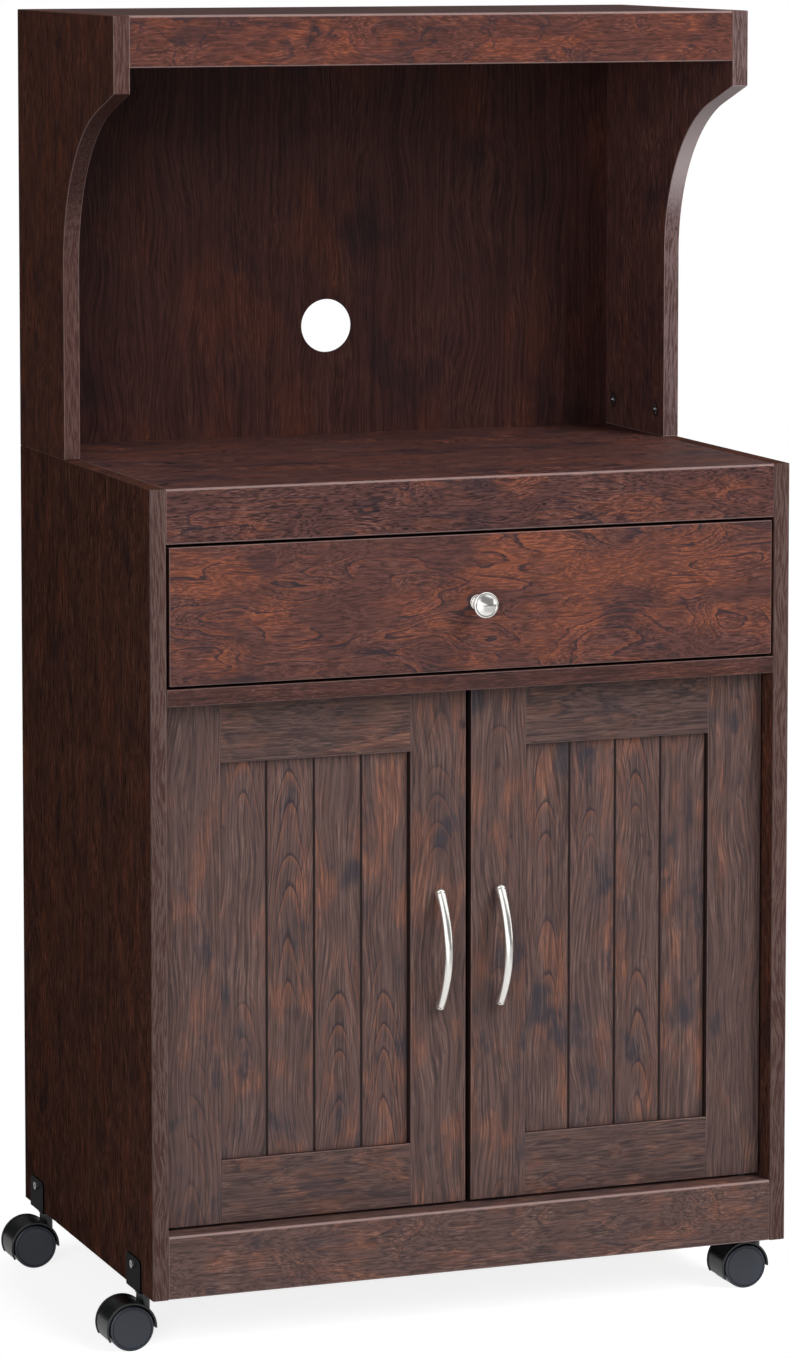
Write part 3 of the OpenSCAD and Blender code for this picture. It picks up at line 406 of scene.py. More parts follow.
def woodMaterial(name, grain, seed, **changes):
    # Wood-grain foil. Its place is taken along the grain, across it and through the board. Two slow
    # noises bend it. Streaks and strokes are noises stretched along the grain, and slow noises set
    # where orange patches, smoke and knots lie. A growth ring is the fraction of a phase: dark just
    # past each whole number and light just before it. The phase is the bent place across the grain,
    # or, for arches, the length plus the square of the distance from the board's middle. Veins are
    # the thin lines where a slow noise passes its middle. An edge is where the products of the
    # normal's parts aren't 0.
    look, share = {**woodLook, **boardLook, **changes}, woodShare
    material, graph = newMaterial(name)
    parts, facing = graph.parts(), graph.parts("Normal")
    others = otherAxes(grain)
    length, width, depth = parts[grain], parts[others[0]], parts[others[1]]
    shift = seed
    if look["arch"]:
        middle, half = look["arch"]
        fromMiddle = (width - middle) / half
    if look["planks"]:
        start, pitch = look["planks"]
        plank = (parts[across] - start) / pitch
        fromMiddle = (plank.fraction() - 0.5) * 2
        shift = plank.whole() * look["plankStep"] + seed
        beside = (0.5 - (plank.fraction() - 0.5).absolute()) * pitch
    length = length + shift
    depth = depth + shift * look["depthStep"]

    def noise(kind, stretch=1.0, scale=1.0):
        # A noise over the place in units of the feature's length and width.
        size, breadth, offset, detail, roughness = woodNoise[kind]
        place = graph.vector(length / (size * stretch) + offset, width / breadth, depth / breadth)
        return graph.noise(place, detail, roughness, scale)

    def mask(kind, value):
        return graph.smooth(value, *woodMask[kind])

    smokeFog, emberFog, glowFog = [noise(kind, scale=1 / look["spread"])
                                   for kind in ("smoke", "ember", "glow")]
    knotFog = noise("knot")
    width = width + (noise("bend") - 0.5) * look["bend"]
    width = width + (noise("ripple") - 0.5) * (look["ripple"] / look["calm"])
    bulge = noise("ring")
    streak, stroke = noise("streak", look["calm"]), noise("stroke", look["calm"])

    smoke = mask("smoke", smokeFog) * look["smoke"]
    knot = mask("knot", knotFog) * look["smoke"]
    ember = mask("ember", emberFog) * (1 - smoke) * look["ember"]
    light = mask("light stroke", stroke) * look["strokes"]
    dark = mask("dark stroke", stroke) * look["strokes"]
    if look["arch"] or look["planks"]:
        driftSize, driftCount = look["archDrift"]
        drift = graph.noise(graph.vector(length / driftSize, shift, 0.0), detail=1) * driftCount
        phase = (length / look["archPitch"] + fromMiddle ** 2 * look["archPull"]
                 + bulge * look["archBulge"] + drift + streak * look["archJitter"])
        place = mask("arch place", noise("arch"))
    else:
        phase = width / look["ringPitch"] + bulge * look["whirl"] + streak * look["ringJitter"]
        place = mask("ring place", glowFog)
    saw = phase.fraction()
    ring = mask("ring end", saw) * mask("ring start", saw) * place * look["rings"]
    fill = mask("ring fill", saw) * place * look["rings"]

    glowing = [part * (level + look["tint"][0]) / 2
               for part, level in zip(look["emberColour"], look["tint"])] + [1.0]
    body = graph.mix(mask("ground", streak), look["groundLow"], look["groundHigh"])
    body = graph.mix(smoke * share["smoke"], body, look["smokeColour"])
    body = graph.mix(dark * look["deep"], body, look["dark"])
    shine = mask("glow", glowFog) * share["light glow"] + share["light"]
    body = graph.mix(light * shine * (1 - smoke * share["light in smoke"]), body, look["warm"])
    body = graph.mix(1.0, body, (*look["tint"], 1.0), "MULTIPLY")
    body = graph.mix(ember * share["ember"] + fill * share["ring fill"], body, glowing)
    body = graph.mix(light * ember * share["ember stroke"], body, glowing)
    body = graph.mix(ring * share["ring"], body, look["smokeColour"])
    body = graph.mix(knot * share["knot"], body, look["smokeColour"])
    if look["veins"]:
        line = mask("vein", (noise("vein") - 0.5).absolute()) * mask("vein place", smokeFog)
        body = graph.mix(line * look["veins"], body, look["smokeColour"])
    if look["planks"]:
        # Painted shade: a dark line along each groove between planks, wider than the groove itself,
        # and along the panel's edges beside the stiles.
        body = graph.mix(graph.smooth(beside, *look["plankGroove"]), body, look["groove"])
    if look["edging"]:
        fleck = mask("band stroke", stroke) * share["band stroke"]
        band = graph.mix(fleck, look["edging"], look["groundLow"])
        body = graph.mix(mask("front", facing[along]), body, band)
        # Faces that look down, under the sweep, get painted shade; on the right hutch side a pale
        # painted sheen instead.
        shade, cover, start, full = look["cove"]
        body = graph.mix(graph.smooth(facing[up], start, full) * cover, body, shade)
    front = facing[along].absolute()
    # Painted shade: faces that don't look to the front, such as the reveals round the drawer front
    # and inside the door frames, are darkened towards the dark colour.
    if look["reveal"] < 1:
        body = graph.mix(mask("turned away", front) * (1 - look["reveal"]), body, look["groove"])
    # Rounded edges are painted paler: partly wear of the foil, partly a painted highlight where the
    # edges catch the light.
    edge = (facing[across] * front).absolute() + (facing[across] * facing[up]).absolute()
    if not look["edging"]:
        edge = edge + (facing[up] * front).absolute()
    body = graph.mix(mask("worn", edge) * look["worn"], body, look["wornColour"])
    grit = graph.noise(graph.node("ShaderNodeTexCoord")["Object"], scale=look["grit"])
    gloss = (look["roughness"] + (stroke - 0.5) * share["stroke gloss"]
             + (grit - 0.5) * share["grit gloss"])
    relief = (stroke * share["stroke relief"] + streak * share["streak relief"]
              + grit * share["grit relief"] - ring * share["ring relief"])
    graph.finish({"Base Color": body, "Roughness": gloss, "Specular IOR Level": look["specular"],
                  "Normal": graph.bump(relief, look["relief"])})
    return material


metalLook = {
    # colour, roughness and how much the brushing varies it
    "nickel": (colour(247, 245, 240), 0.20, 0.08),
    "knob": (colour(247, 245, 241), 0.13, 0.05),
    "zinc": (colour(196, 199, 203), 0.30, 0.14),
}
metalGrain = {
    "cloudSize": 0.018,
    "cloudShade": 0.88,          # tone of the darker clouds
    "cloudGloss": 0.08,
    "relief": (0.12, 0.00004),   # strength and depth, as in every relief here
}


def metalMaterial(name, kind, grain=up, brush=(0.012, 0.0004)):
    # Brushed metal: a noise drawn out along the brushing sets the roughness and a fine relief.
    base, roughness, spread = metalLook[kind]
    look = metalGrain
    material, graph = newMaterial(name)
    parts = graph.parts()
    hair = graph.noise(graph.vector(*[parts[axis] / (brush[0] if axis == grain else brush[1])
                                      for axis in range(3)]))
    cloud = graph.noise(graph.vector(*[parts[axis] / look["cloudSize"] for axis in range(3)]))
    dull = (*[look["cloudShade"] * part for part in base[:3]], 1.0)
    matt = roughness + (hair - 0.5) * spread + (cloud - 0.5) * look["cloudGloss"]
    graph.finish({"Base Color": graph.mix(cloud, base, dull), "Metallic": 1.0, "Roughness": matt,
                  "Normal": graph.bump(hair, look["relief"])})
    return material


plasticLook = {
    # two colours, the roughness and the level of the gloss
    "caster": (colour(33, 38, 49), colour(43, 49, 62), 0.24, 0.6),
    "hood": (colour(14, 16, 17), colour(21, 24, 26), 0.26, 0.6),
    "catch": (colour(24, 24, 26), colour(34, 34, 36), 0.50, 0.5),
    "bush": (colour(22, 21, 21), colour(31, 30, 30), 0.45, 0.5),
    "black steel": (colour(8, 8, 9), colour(14, 14, 15), 0.42, 0.02),
}
plasticGrain = {
    "cloud": 55.0,         # fineness of the slow change between the colours
    "pebbleGloss": 0.14,
    "cloudGloss": 0.08,
    "relief": (0.22, 0.00006),
}


def plasticMaterial(name, kind, pebble=0.0007):
    # Moulded plastic or paint: a fine pebble for relief and gloss, and a slow noise that goes
    # between two tones.
    first, second, roughness, level = plasticLook[kind]
    look = plasticGrain
    material, graph = newMaterial(name)
    place = graph.node("ShaderNodeTexCoord")["Object"]
    cloud = graph.noise(place, detail=3, scale=look["cloud"])
    pebbles = graph.noise(place, scale=1 / pebble)
    gloss = roughness + (pebbles - 0.5) * look["pebbleGloss"] + (cloud - 0.5) * look["cloudGloss"]
    graph.finish({"Base Color": graph.mix(cloud, first, second), "Specular IOR Level": level,
                  "Roughness": gloss, "Normal": graph.bump(pebbles, look["relief"])})
    return material


rawWoodLook = {
    "streakSize": (0.09, 0.0022),
    "poreSize": (0.004, 0.0006),
    "pore": (0.62, 0.74),
    "streak": (0.3, 0.7),
    "poreShare": 0.35,
    "poreDepth": 0.6,
    "roughness": 0.58,
    "gloss": 0.2,
    "relief": (0.3, 0.0002),
}


def rawWoodMaterial(name, light, dark, grain):
    # Plain beech or board: fibres stretched along the grain between two tones, with short pores.
    look = rawWoodLook
    material, graph = newMaterial(name)
    parts = graph.parts()
    others = otherAxes(grain)

    def stretched(size):
        return graph.vector(parts[grain] / size[0], parts[others[0]] / size[1],
                            parts[others[1]] / size[1])

    streak = graph.noise(stretched(look["streakSize"]), detail=4, roughness=0.6)
    pore = graph.smooth(graph.noise(stretched(look["poreSize"]), detail=1), *look["pore"])
    tone = graph.mix(graph.smooth(streak, *look["streak"]), light, dark)
    graph.finish({"Base Color": graph.mix(pore * look["poreShare"], tone, dark),
                  "Roughness": look["roughness"] + (streak - 0.5) * look["gloss"],
                  "Normal": graph.bump(streak - pore * look["poreDepth"], look["relief"])})
    return material


doorTint = (1.15, 1.66, 1.76)     # the doors are greyer than the drawer
# the door rails are painted darker than the doors: painted shade, as falls on the top rails from
# the rail above
doorRailShadedTint = tuple(0.90 * part for part in doorTint)
doorPanelTint = tuple(1.04 * part for part in doorTint)
boardKinds = {
    # the grain's direction, the seed, and what differs from boardLook
    "valance": (across, 1.37, dict(
        smoke=0.75, ember=0.9, rings=0.6, veins=0.7, worn=0.5, tint=(1.03, 0.90, 0.84), reveal=0.4,
        bend=0.070)),
    "worktop": (across, 6.11, dict(
        smoke=0.9, ember=0.7, rings=1.0, worn=0.5, strokes=1.2, tint=(0.97, 1.05, 1.11), bend=0.080,
        deep=0.85, whirl=5.0, spread=1.4, specular=0.18)),
    "drawer front": (across, 9.73, dict(
        smoke=0.9, ember=1.2, rings=1.2, worn=0.35, reveal=0.3, tint=(1.04, 1.05, 1.06), bend=0.090,
        calm=1.2, whirl=6.0, deep=0.65, strokes=0.9, spread=1.8)),
    "rail": (across, 4.41, dict(
        smoke=0.4, ember=0.4, rings=0.2, reveal=0.5, tint=(0.75, 0.78, 0.80))),
    "bottom": (across, 14.9, dict(
        smoke=0.6, ember=0.5, rings=0.6, worn=0.55, tint=(1.18, 1.64, 1.72), bend=0.060, calm=1.5)),
    "side": (up, 21.3, dict(
        smoke=0.7, rings=0.2, worn=0.1, specular=0.0, tint=(1.06, 1.08, 0.94),
        edging=colour(101, 81, 77), deep=0.9, calm=1.8)),
    "hutch left side": (up, 33.8, dict(
        smoke=0.7, ember=0.6, rings=0.2, worn=0.3, specular=0.01, tint=(1.14, 1.08, 0.94),
        edging=colour(98, 74, 70), deep=0.9, calm=1.8)),
    # The right side is tinted lighter than the left, with a paler edge band: painted light, as both
    # are the same foil.
    "hutch right side": (up, 39.4, dict(
        smoke=0.6, ember=0.4, rings=0.2, worn=0.45, specular=0.08, tint=(1.4, 1.5, 1.55),
        edging=colour(114, 94, 93), deep=0.7, calm=1.8,
        # a pale painted sheen in the sweep instead of painted shade
        cove=(colour(188, 173, 174), 0.88, -0.14, -0.60))),
    # The low tint is painted shade: it darkens the back as the hutch's top shades its inside.
    "back": (up, 42.6, dict(
        smoke=0.7, ember=0.8, rings=0.15, strokes=0.6, worn=0.0, tint=(0.50, 0.50, 0.51),
        specular=0.10, spread=2.2, deep=0.6, calm=1.8)),
    "shelf": (across, 95.5, dict(smoke=0.4, ember=0.3)),
}
doorKinds = {
    # as above, with how far the seed moves on from the left door to the right
    "hinge stile": (up, 51.2, 7.7, dict(
        smoke=0.9, ember=0.8, rings=0.5, strokes=0.75, tint=doorTint, calm=3.0)),
    "meeting stile": (up, 54.5, 7.7, dict(
        smoke=0.9, ember=0.8, rings=0.5, strokes=0.75, tint=doorTint, calm=3.0)),
    "panel": (up, 71.9, 14.5, dict(
        smoke=0.9, ember=0.95, rings=0.95, strokes=0.75, tint=doorPanelTint, reveal=1.0, calm=3.0)),
    "door rail": (across, 63.5, 5.9, dict(
        smoke=0.7, rings=0.6, strokes=0.8, tint=doorRailShadedTint, calm=2.4)),
}
grooveDepth = 0.008      # of the groove that holds a door's panel
planksInPanel = 4
panelLow, panelHigh = nodeBox("right_door_panel")
plankWidth = (panelHigh[0] - panelLow[0] - 2 * grooveDepth) / planksInPanel

wood = {kind: woodMaterial("walnut " + kind, grain, seed, **changes)
        for kind, (grain, seed, changes) in boardKinds.items()}
for index, side in enumerate(("left", "right")):
    for kind, (grain, seed, step, changes) in doorKinds.items():
        own = {"reveal": 0.25, "deep": 0.7, **changes}
        if kind == "panel":
            own["planks"] = (nodeBox(side + "_door_panel")[0][0] + grooveDepth, plankWidth)
        elif "stile" in kind:
            low, high = nodeBox(f"{side}_door_{kind}".replace(" ", "_"))
            own["arch"] = ((low[0] + high[0]) / 2, (high[0] - low[0]) / 2)
        name = f"{side} {kind}"
        wood[name] = woodMaterial("walnut " + name, grain, seed + step * index, **own)
nickel = metalMaterial("satin nickel", "nickel")
knobNickel = metalMaterial("satin nickel knob", "knob", along, (0.0012, 0.0012))
zinc = metalMaterial("zinc", "zinc", up, (0.003, 0.0006))
casterPlastic = plasticMaterial("caster plastic", "caster")
hoodPlastic = plasticMaterial("hood plastic", "hood")
catchPlastic = plasticMaterial("catch plastic", "catch")
bushNylon = plasticMaterial("bush nylon", "bush")
blackSteel = plasticMaterial("black steel", "black steel", 0.0004)
boardTones = colour(176, 150, 116), colour(150, 122, 90)
drawerBoard = rawWoodMaterial("drawer board", *boardTones, along)
drawerCrossBoard = rawWoodMaterial("drawer cross board", *boardTones, across)
beech = rawWoodMaterial("beech", colour(205, 174, 128), colour(178, 144, 98), across)
print("materials")

carcass = {
    "sideFrontRound": 0.002,     # rounding of the side panels' front edges
    "sideEdge": 0.0006,
    "foldRound": 0.0025,         # rounding where a board folds down into its apron
    "foldInside": 0.002,
    "boardThickness": 0.015,
    "bottomFold": 0.0015,        # rounding of an apron's lower edge
    "overcut": 0.001,            # how far a drill starts outside the board
    "camReach": 0.0245,          # from a cam lock's centre to the joint
    "camRadius": 0.0076,
    "camDepth": 0.0126,
    "camInset": 0.045,           # from a board's front and rear to its cam locks
    "footCamInset": 0.019,
    "railCamInset": 0.022,
    "pinRadius": 0.00255,
    "pinDepth": 0.0091,
    "pinInset": 0.040,
    "pinPitch": 0.064,
    "bushRadius": 0.0041,
    "bushFlange": 0.0014,        # how much wider the bush's flange is
    "bushDepth": 0.010,
}
sideLow, sideHigh = nodeBox("base_right_side")
leftLow, leftHigh = nodeBox("base_left_side")
shelfLow, shelfHigh = nodeBox("shelf")
innerLeft, innerRight = leftHigh[0], sideLow[0]
boardRear = sideHigh[1]
shelfPinHeight = nodeBox("shelf_pins")[0][2] + carcass["pinRadius"]
camXs = (innerLeft + carcass["camReach"], innerRight - carcass["camReach"])


def camPocket(x, y, z, axis=up):
    # A blind hole that runs from x, y, z into the board along the axis, outwards in a side panel.
    way = -1 if axis == across and x < 0 else 1
    low, high = np.array([x, y, z], float), np.array([x, y, z], float)
    low[axis], high[axis] = sorted((low[axis] - way * carcass["overcut"],
                                    low[axis] + way * carcass["camDepth"]))
    return rod(low, high, axis, carcass["camRadius"], 48)


def cabinetSide(name, low, high, innerX):
    # The panel's plan, with its two front edges rounded, carried upwards; then the shelf-pin holes.
    frontRound = carcass["sideFrontRound"]
    radii = [frontRound, frontRound, cornerRound, cornerRound]
    outline = roundedOutline(rectangle(low[:2], high[:2]), radii)
    panel = makeObject(name, slab(outline, up, low[2], high[2], carcass["sideEdge"]))
    way = 1 if innerX > 0 else -1
    ends = sorted([innerX - way * carcass["overcut"], innerX + way * carcass["pinDepth"]])
    holes = []
    for y in (shelfLow[1] + carcass["pinInset"], boardRear - carcass["pinInset"]):
        for step in (-1, 0, 1):
            z = shelfPinHeight + step * carcass["pinPitch"]
            holes.append(rod((ends[0], y, z), (ends[1], y, z), across, carcass["pinRadius"], 24))
    return drilled(panel, holes)


def foldedBoard(name, boardNode, apronNode):
    # A board and its apron in one: an angle-shaped section with a rounded fold, carried across.
    low, high = nodeBox(boardNode)
    bottom = nodeBox(apronNode)[0][2]
    front, rear, top = low[1], high[1], high[2]
    inside, under = front + carcass["boardThickness"], top - carcass["boardThickness"]
    corners = [(front, bottom), (inside, bottom), (inside, under), (rear, under), (rear, top),
               (front, top)]
    radii = [carcass["bottomFold"], cornerRound, carcass["foldInside"], cornerRound, cornerRound,
             carcass["foldRound"]]
    outline = roundedOutline(corners, radii)
    return makeObject(name, slab(outline, across, low[0], high[0]))


def bushHoles(top):
    # The blind holes of the doors' lower bushes.
    low, high = nodeBox("door_bushes")
    radius, inset = carcass["bushRadius"], carcass["bushRadius"] + carcass["bushFlange"]
    y = (low[1] + high[1]) / 2
    return [rod((x, y, top - carcass["bushDepth"]), (x, y, top + carcass["overcut"]), up, radius)
            for x in (low[0] + inset, high[0] - inset)]


for side, low, high, innerX in (("left", leftLow, leftHigh, innerLeft),
                                ("right", sideLow, sideHigh, innerRight)):
    dress(cabinetSide(side + "_side_panel", low, high, innerX), wood["side"], "cabinet",
          "walnut_board", f"base_{side}_side")

for name, boardNode, apronNode, look in (
        ("worktop_with_apron", "worktop", "worktop_apron", "worktop"),
        ("bottom_with_apron", "bottom_board", "lower_apron", "bottom"),
        ("hutch_top_with_valance", "hutch_top", "hutch_valance", "valance")):
    low, high = nodeBox(boardNode)
    camYs = (low[1] + carcass["camInset"], boardRear - carcass["camInset"])
    holes = [camPocket(x, y, high[2] - carcass["boardThickness"]) for x in camXs for y in camYs]
    if look == "bottom":
        holes += bushHoles(high[2])
    dress(drilled(foldedBoard(name, boardNode, apronNode), holes), wood[look], "cabinet",
          "walnut_board" if look == "bottom" else "walnut_front", boardNode, apronNode)

railLow, railHigh = nodeBox("drawer_rail")
rail = makeObject("front_rail", board(railLow, railHigh, across, edge=0.0006))
railHoles = [camPocket(x, railHigh[1] - carcass["railCamInset"], railLow[2]) for x in camXs]
dress(drilled(rail, railHoles), wood["rail"], "cabinet", "walnut_front", "drawer_rail")
print("carcass boards")

hutch = {
    "footDepth": 0.139,      # depth of a side where it stands on the cabinet
    "noseHeight": 0.068,     # height of the straight front edge at the top
    "coveRadius": 0.150,     # the quarter-round sweep below the nose
    "coveSlope": 18.7,       # slope of the edge between the nose and the sweep, in degrees
    "corner": 0.0013,        # rounding of the other corners
    "edge": 0.0009,          # rounding along the edge band
    "backEdge": 0.0003,
    "backCorner": 0.0006,
    "cableHole": 0.025,      # radius
    "cableHoleHeight": 0.102,
}


def hutchSide(name, node, innerX):
    # The side's outline in Y and Z: foot, rear, top and nose, and one corner under the nose that
    # the sweep rounds off with its radius. It is carried through the board's thickness.
    low, high = nodeBox(node)
    footY = high[1] - hutch["footDepth"]
    noseZ = high[2] - hutch["noseHeight"]
    bendZ = noseZ - (footY - low[1]) * math.tan(math.radians(hutch["coveSlope"]))
    corners = [(footY, low[2]), (high[1], low[2]), (high[1], high[2]), (low[1], high[2]),
               (low[1], noseZ), (footY, bendZ)]
    outline = roundedOutline(corners, [hutch["corner"]] * 5 + [hutch["coveRadius"]], 40)
    panel = makeObject(name, slab(outline, across, low[0], high[0], hutch["edge"]))
    camYs = (footY + carcass["footCamInset"], high[1] - carcass["footCamInset"])
    camZ = low[2] + carcass["camReach"]
    return drilled(panel, [camPocket(innerX, y, camZ, across) for y in camYs])


def backPanel(name, node):
    return makeObject(name, board(*nodeBox(node), along, hutch["backEdge"], hutch["backCorner"]))


for side, innerX in (("left", innerLeft), ("right", innerRight)):
    dress(hutchSide(f"hutch_{side}_panel", f"hutch_{side}_side", innerX),
          wood[f"hutch {side} side"], "cabinet", "walnut_board", f"hutch_{side}_side")

backLow, backHigh = nodeBox("hutch_back")
holeX = (backLow[0] + backHigh[0]) / 2
holeZ = nodeBox("worktop")[1][2] + hutch["cableHoleHeight"]
cableHole = rod((holeX, backLow[1] - 0.01, holeZ), (holeX, backHigh[1] + 0.01, holeZ), along,
                hutch["cableHole"], 128)
dress(drilled(backPanel("hutch_back_panel", "hutch_back"), [cableHole]), wood["back"], "cabinet",
      "back_panel", "hutch_back")
dress(backPanel("base_back_panel", "base_back"), wood["back"], "cabinet", "back_panel", "base_back")
dress(makeObject("loose_shelf", board(shelfLow, shelfHigh, across, edge=0.0006)), wood["shelf"],
      "cabinet", "walnut_board", "shelf")
print("hutch")

frontLow, frontHigh = nodeBox("drawer_front")
drawerFront = board(frontLow, frontHigh, along, edge=0.0008, corner=0.0011)
dress(makeObject("drawer_front_board", drawerFront), wood["drawer front"], "drawer",
      "walnut_front", "drawer_front")

knobLook = {
    "baseRadius": 0.0068,    # the foot on the drawer's front
    "baseRound": 0.0008,
    "flareHeight": 0.0016,   # where the flare into the neck starts
    "flareStep": 0.0010,     # how much narrower the flare is than the foot
    "neckRadius": 0.0047,
    "headUnder": 0.0030,     # radius of the hollow under the head
    "headRadius": 0.0116,
    "headHeight": 0.0118,    # from the head's underside to its crown
    "rimRadius": 0.0015,     # rounding of the head's rim
    "rimDip": 0.00025,       # how far the dome starts below the rim
    "domeHeight": 0.0022,
}


def knobProfile(reach):
    # Radius and height of the turned knob: a foot with a rounded edge, a flare into the neck, the
    # head's hollow underside, its round rim and, inside that, a shallow dome. The dome's radius is
    # the sum of the squares of its rim's radius and its height, over twice the height.
    look = knobLook
    base, neck, head, rim = [look[part + "Radius"] for part in ("base", "neck", "head", "rim")]
    dome, small, hollow = look["domeHeight"], look["baseRound"], look["headUnder"]
    foot = arcPoints((base - small, small), small, 0, 90, 5)
    flareRadius = base - look["flareStep"] - neck
    flareTop = look["flareHeight"] + flareRadius
    flare = arcPoints((neck + flareRadius, flareTop), flareRadius, 270, 180, 10)
    rise = arcPoints((neck + hollow, reach - look["headHeight"]), hollow, 180, 90, 6)
    lip = arcPoints((head - rim, reach - dome - rim), rim, -60, 120, 18)
    inner = lip[-1][0] - 0.0002
    height = dome + look["rimDip"]
    domeRadius = (inner ** 2 + height ** 2) / (2 * height)
    spread = math.degrees(math.asin(inner / domeRadius))
    crown = arcPoints((0, reach - domeRadius), domeRadius, 90 - spread, 90, 20)
    return np.concatenate([[(0, 0), (base - 0.0002, 0)], foot, flare, rise, lip, crown])


knobLow, knobHigh = nodeBox("drawer_knob")
knobShape = turned(knobProfile(knobHigh[1] - knobLow[1]) * [1, -1],
                   ((knobLow[0] + knobHigh[0]) / 2, knobHigh[1], (knobLow[2] + knobHigh[2]) / 2),
                   along)
dress(makeObject("knob", knobShape, 50), knobNickel, "drawer", "satin_nickel", "drawer_knob")
print("drawer")

door = {
    "panelRecess": 0.006,
    "panelThickness": 0.006,
    "panelEdge": 0.0001,
    "beadWidth": 0.002,
    "beadFloor": 0.7,        # width of a groove's floor, over that of its mouth
    "beadDepth": 0.0015,
    "beadRound": 0.00028,
    "frameEdge": 0.0006,
    "frameCorner": 0.0009,
    "tenonGap": 0.001,       # above a tenon and below it
    "tenonPlay": 0.0001,     # in front of it and behind it
}


def doorPanel(name, node, body, material):
    # The panel's plan, with a narrow groove between planks, carried upwards.
    low, high = nodeBox(node)
    half, depth = door["beadWidth"] / 2, door["beadDepth"]
    floor = half * door["beadFloor"]
    corners = rectangle(low[:2], high[:2])
    beads = []
    for index in range(1, planksInPanel):
        x = low[0] + grooveDepth + index * plankWidth
        beads += [(x - half, low[1]), (x - floor, low[1] + depth), (x + floor, low[1] + depth),
                  (x + half, low[1])]
    outline = roundedOutline(corners[:1] + beads + corners[1:], door["beadRound"], 3)
    panel = makeObject(name, slab(outline, up, low[2], high[2], door["panelEdge"]))
    return dress(panel, material, body, "walnut_front", node)


def panelFaces(front):
    # Y of the panel's front and of its rear, behind the frame's front.
    panelY = front + door["panelRecess"]
    return panelY, panelY + door["panelThickness"]


def doorStile(name, node, body, grooveX, material):
    # A stile's plan, with the groove that holds the panel cut into one side, carried upwards.
    low, high = nodeBox(node)
    panelY, panelRear = panelFaces(low[1])
    corners = rectangle(low[:2], high[:2])
    if grooveX > (low[0] + high[0]) / 2:
        inner, deep = high[0], high[0] - grooveDepth
        corners[2:2] = [(inner, panelY), (deep, panelY), (deep, panelRear), (inner, panelRear)]
    else:
        inner, deep = low[0], low[0] + grooveDepth
        corners += [(inner, panelRear), (deep, panelRear), (deep, panelY), (inner, panelY)]
    outline = roundedOutline(corners, door["frameCorner"], 4)
    return dress(makeObject(name, slab(outline, up, low[2], high[2], door["frameEdge"])),
                 material, body, "walnut_front", node)


def doorRail(name, node, body, left, right, grooveTop, material):
    # A rail between the stiles: its section with the panel's groove, carried across, and tenons.
    low, high = nodeBox(node)
    panelY, panelRear = panelFaces(low[1])
    corners = rectangle(low[1:], high[1:])
    notch = [(panelY, 0), (panelY, grooveDepth), (panelRear, grooveDepth), (panelRear, 0)]
    tenonLow, tenonHigh = low[2] + door["tenonGap"], high[2] - door["tenonGap"]
    if grooveTop:
        corners[3:3] = [(y, high[2] - z) for y, z in notch[::-1]]
        tenonHigh -= grooveDepth
    else:
        corners[1:1] = [(y, low[2] + z) for y, z in notch]
        tenonLow += grooveDepth
    outline = roundedOutline(corners, door["frameCorner"], 4)
    tenons = board(np.array([low[0], panelY + door["tenonPlay"], tenonLow]),
                   np.array([high[0], panelRear - door["tenonPlay"], tenonHigh]), across)
    shape = joined(slab(outline, across, left, right, door["frameEdge"]), tenons)
    return dress(makeObject(name, shape), material, body, "walnut_front", node)


handleLook = {
    "middleRadius": 0.0043,
    "endRadius": 0.0053,
    "halfLength": 0.0500,    # from the middle to where the rounded tip begins
    "reach": 0.0250,         # from the door to the bar's centre line
    "rest": 0.0052,          # the same at the ends, which lie on the door
    "tip": 0.0050,           # length of the rounded tips
    "tipRings": 8,
    "rings": 96,
    "round": 32,
}


def doorHandle(name, node, body, doorFront):
    # A bow of round bar. Along the bar a parameter runs from -1 to 1. The bar's height above the
    # door is a parabola, and its radius grows to the ends with the fourth power. A point is the
    # centre line's plus the bar's radius round it, across the line's slope. Each tip is a quarter
    # circle: the radius shrinks with the cosine of the turn and the length grows with its sine.
    look = handleLook
    low, high = nodeBox(node)
    x, z = (low[0] + high[0]) / 2, (low[2] + high[2]) / 2
    share = np.linspace(-1, 1, look["rings"] + 1)
    lineY = look["rest"] + (look["reach"] - look["rest"]) * (1 - share ** 2)
    bar = look["middleRadius"] + (look["endRadius"] - look["middleRadius"]) * share ** 4
    turn = np.linspace(0, math.pi / 2, look["tipRings"] + 1)[1:]
    tipZ = look["halfLength"] + look["tip"] * np.sin(turn)
    lineZ = np.concatenate([-tipZ[::-1], share * look["halfLength"], tipZ])
    lineY = np.pad(lineY, look["tipRings"], "edge")
    bar = np.concatenate([bar[0] * np.cos(turn)[::-1], bar, bar[-1] * np.cos(turn)])
    slope = np.arctan2(np.gradient(lineY), np.gradient(lineZ))
    ring = np.arange(look["round"]) / look["round"] * 2 * math.pi
    out = bar[:, None] * np.cos(ring)
    points = np.stack([x + bar[:, None] * np.sin(ring),
                       doorFront - lineY[:, None] - out * np.cos(slope)[:, None],
                       z + lineZ[:, None] - out * np.sin(slope)[:, None]], -1)
    shape = (points.reshape(-1, 3), gridFaces(*points.shape[:2]))
    return dress(makeObject(name, shape, 60), nickel, body, "satin_nickel", node)


for side in ("left", "right"):
    body = side + "_door"
    panelLow, panelHigh = nodeBox(body + "_panel")
    middle = (panelLow[0] + panelHigh[0]) / 2
    frameLeft, frameRight = panelLow[0] + grooveDepth, panelHigh[0] - grooveDepth
    doorPanel(side + "_beaded_panel", body + "_panel", body, wood[side + " panel"])
    for kind in ("hinge", "meeting"):
        doorStile(f"{side}_{kind}_stile", f"{body}_{kind}_stile", body, middle,
                  wood[f"{side} {kind} stile"])
    for kind in ("top", "bottom"):
        doorRail(f"{side}_{kind}_rail", f"{body}_{kind}_rail", body, frameLeft, frameRight,
                 kind == "bottom", wood[side + " door rail"])
    doorHandle(side + "_pull", body + "_handle", body, nodeBox(body + "_meeting_stile")[0][1])
print("doors")

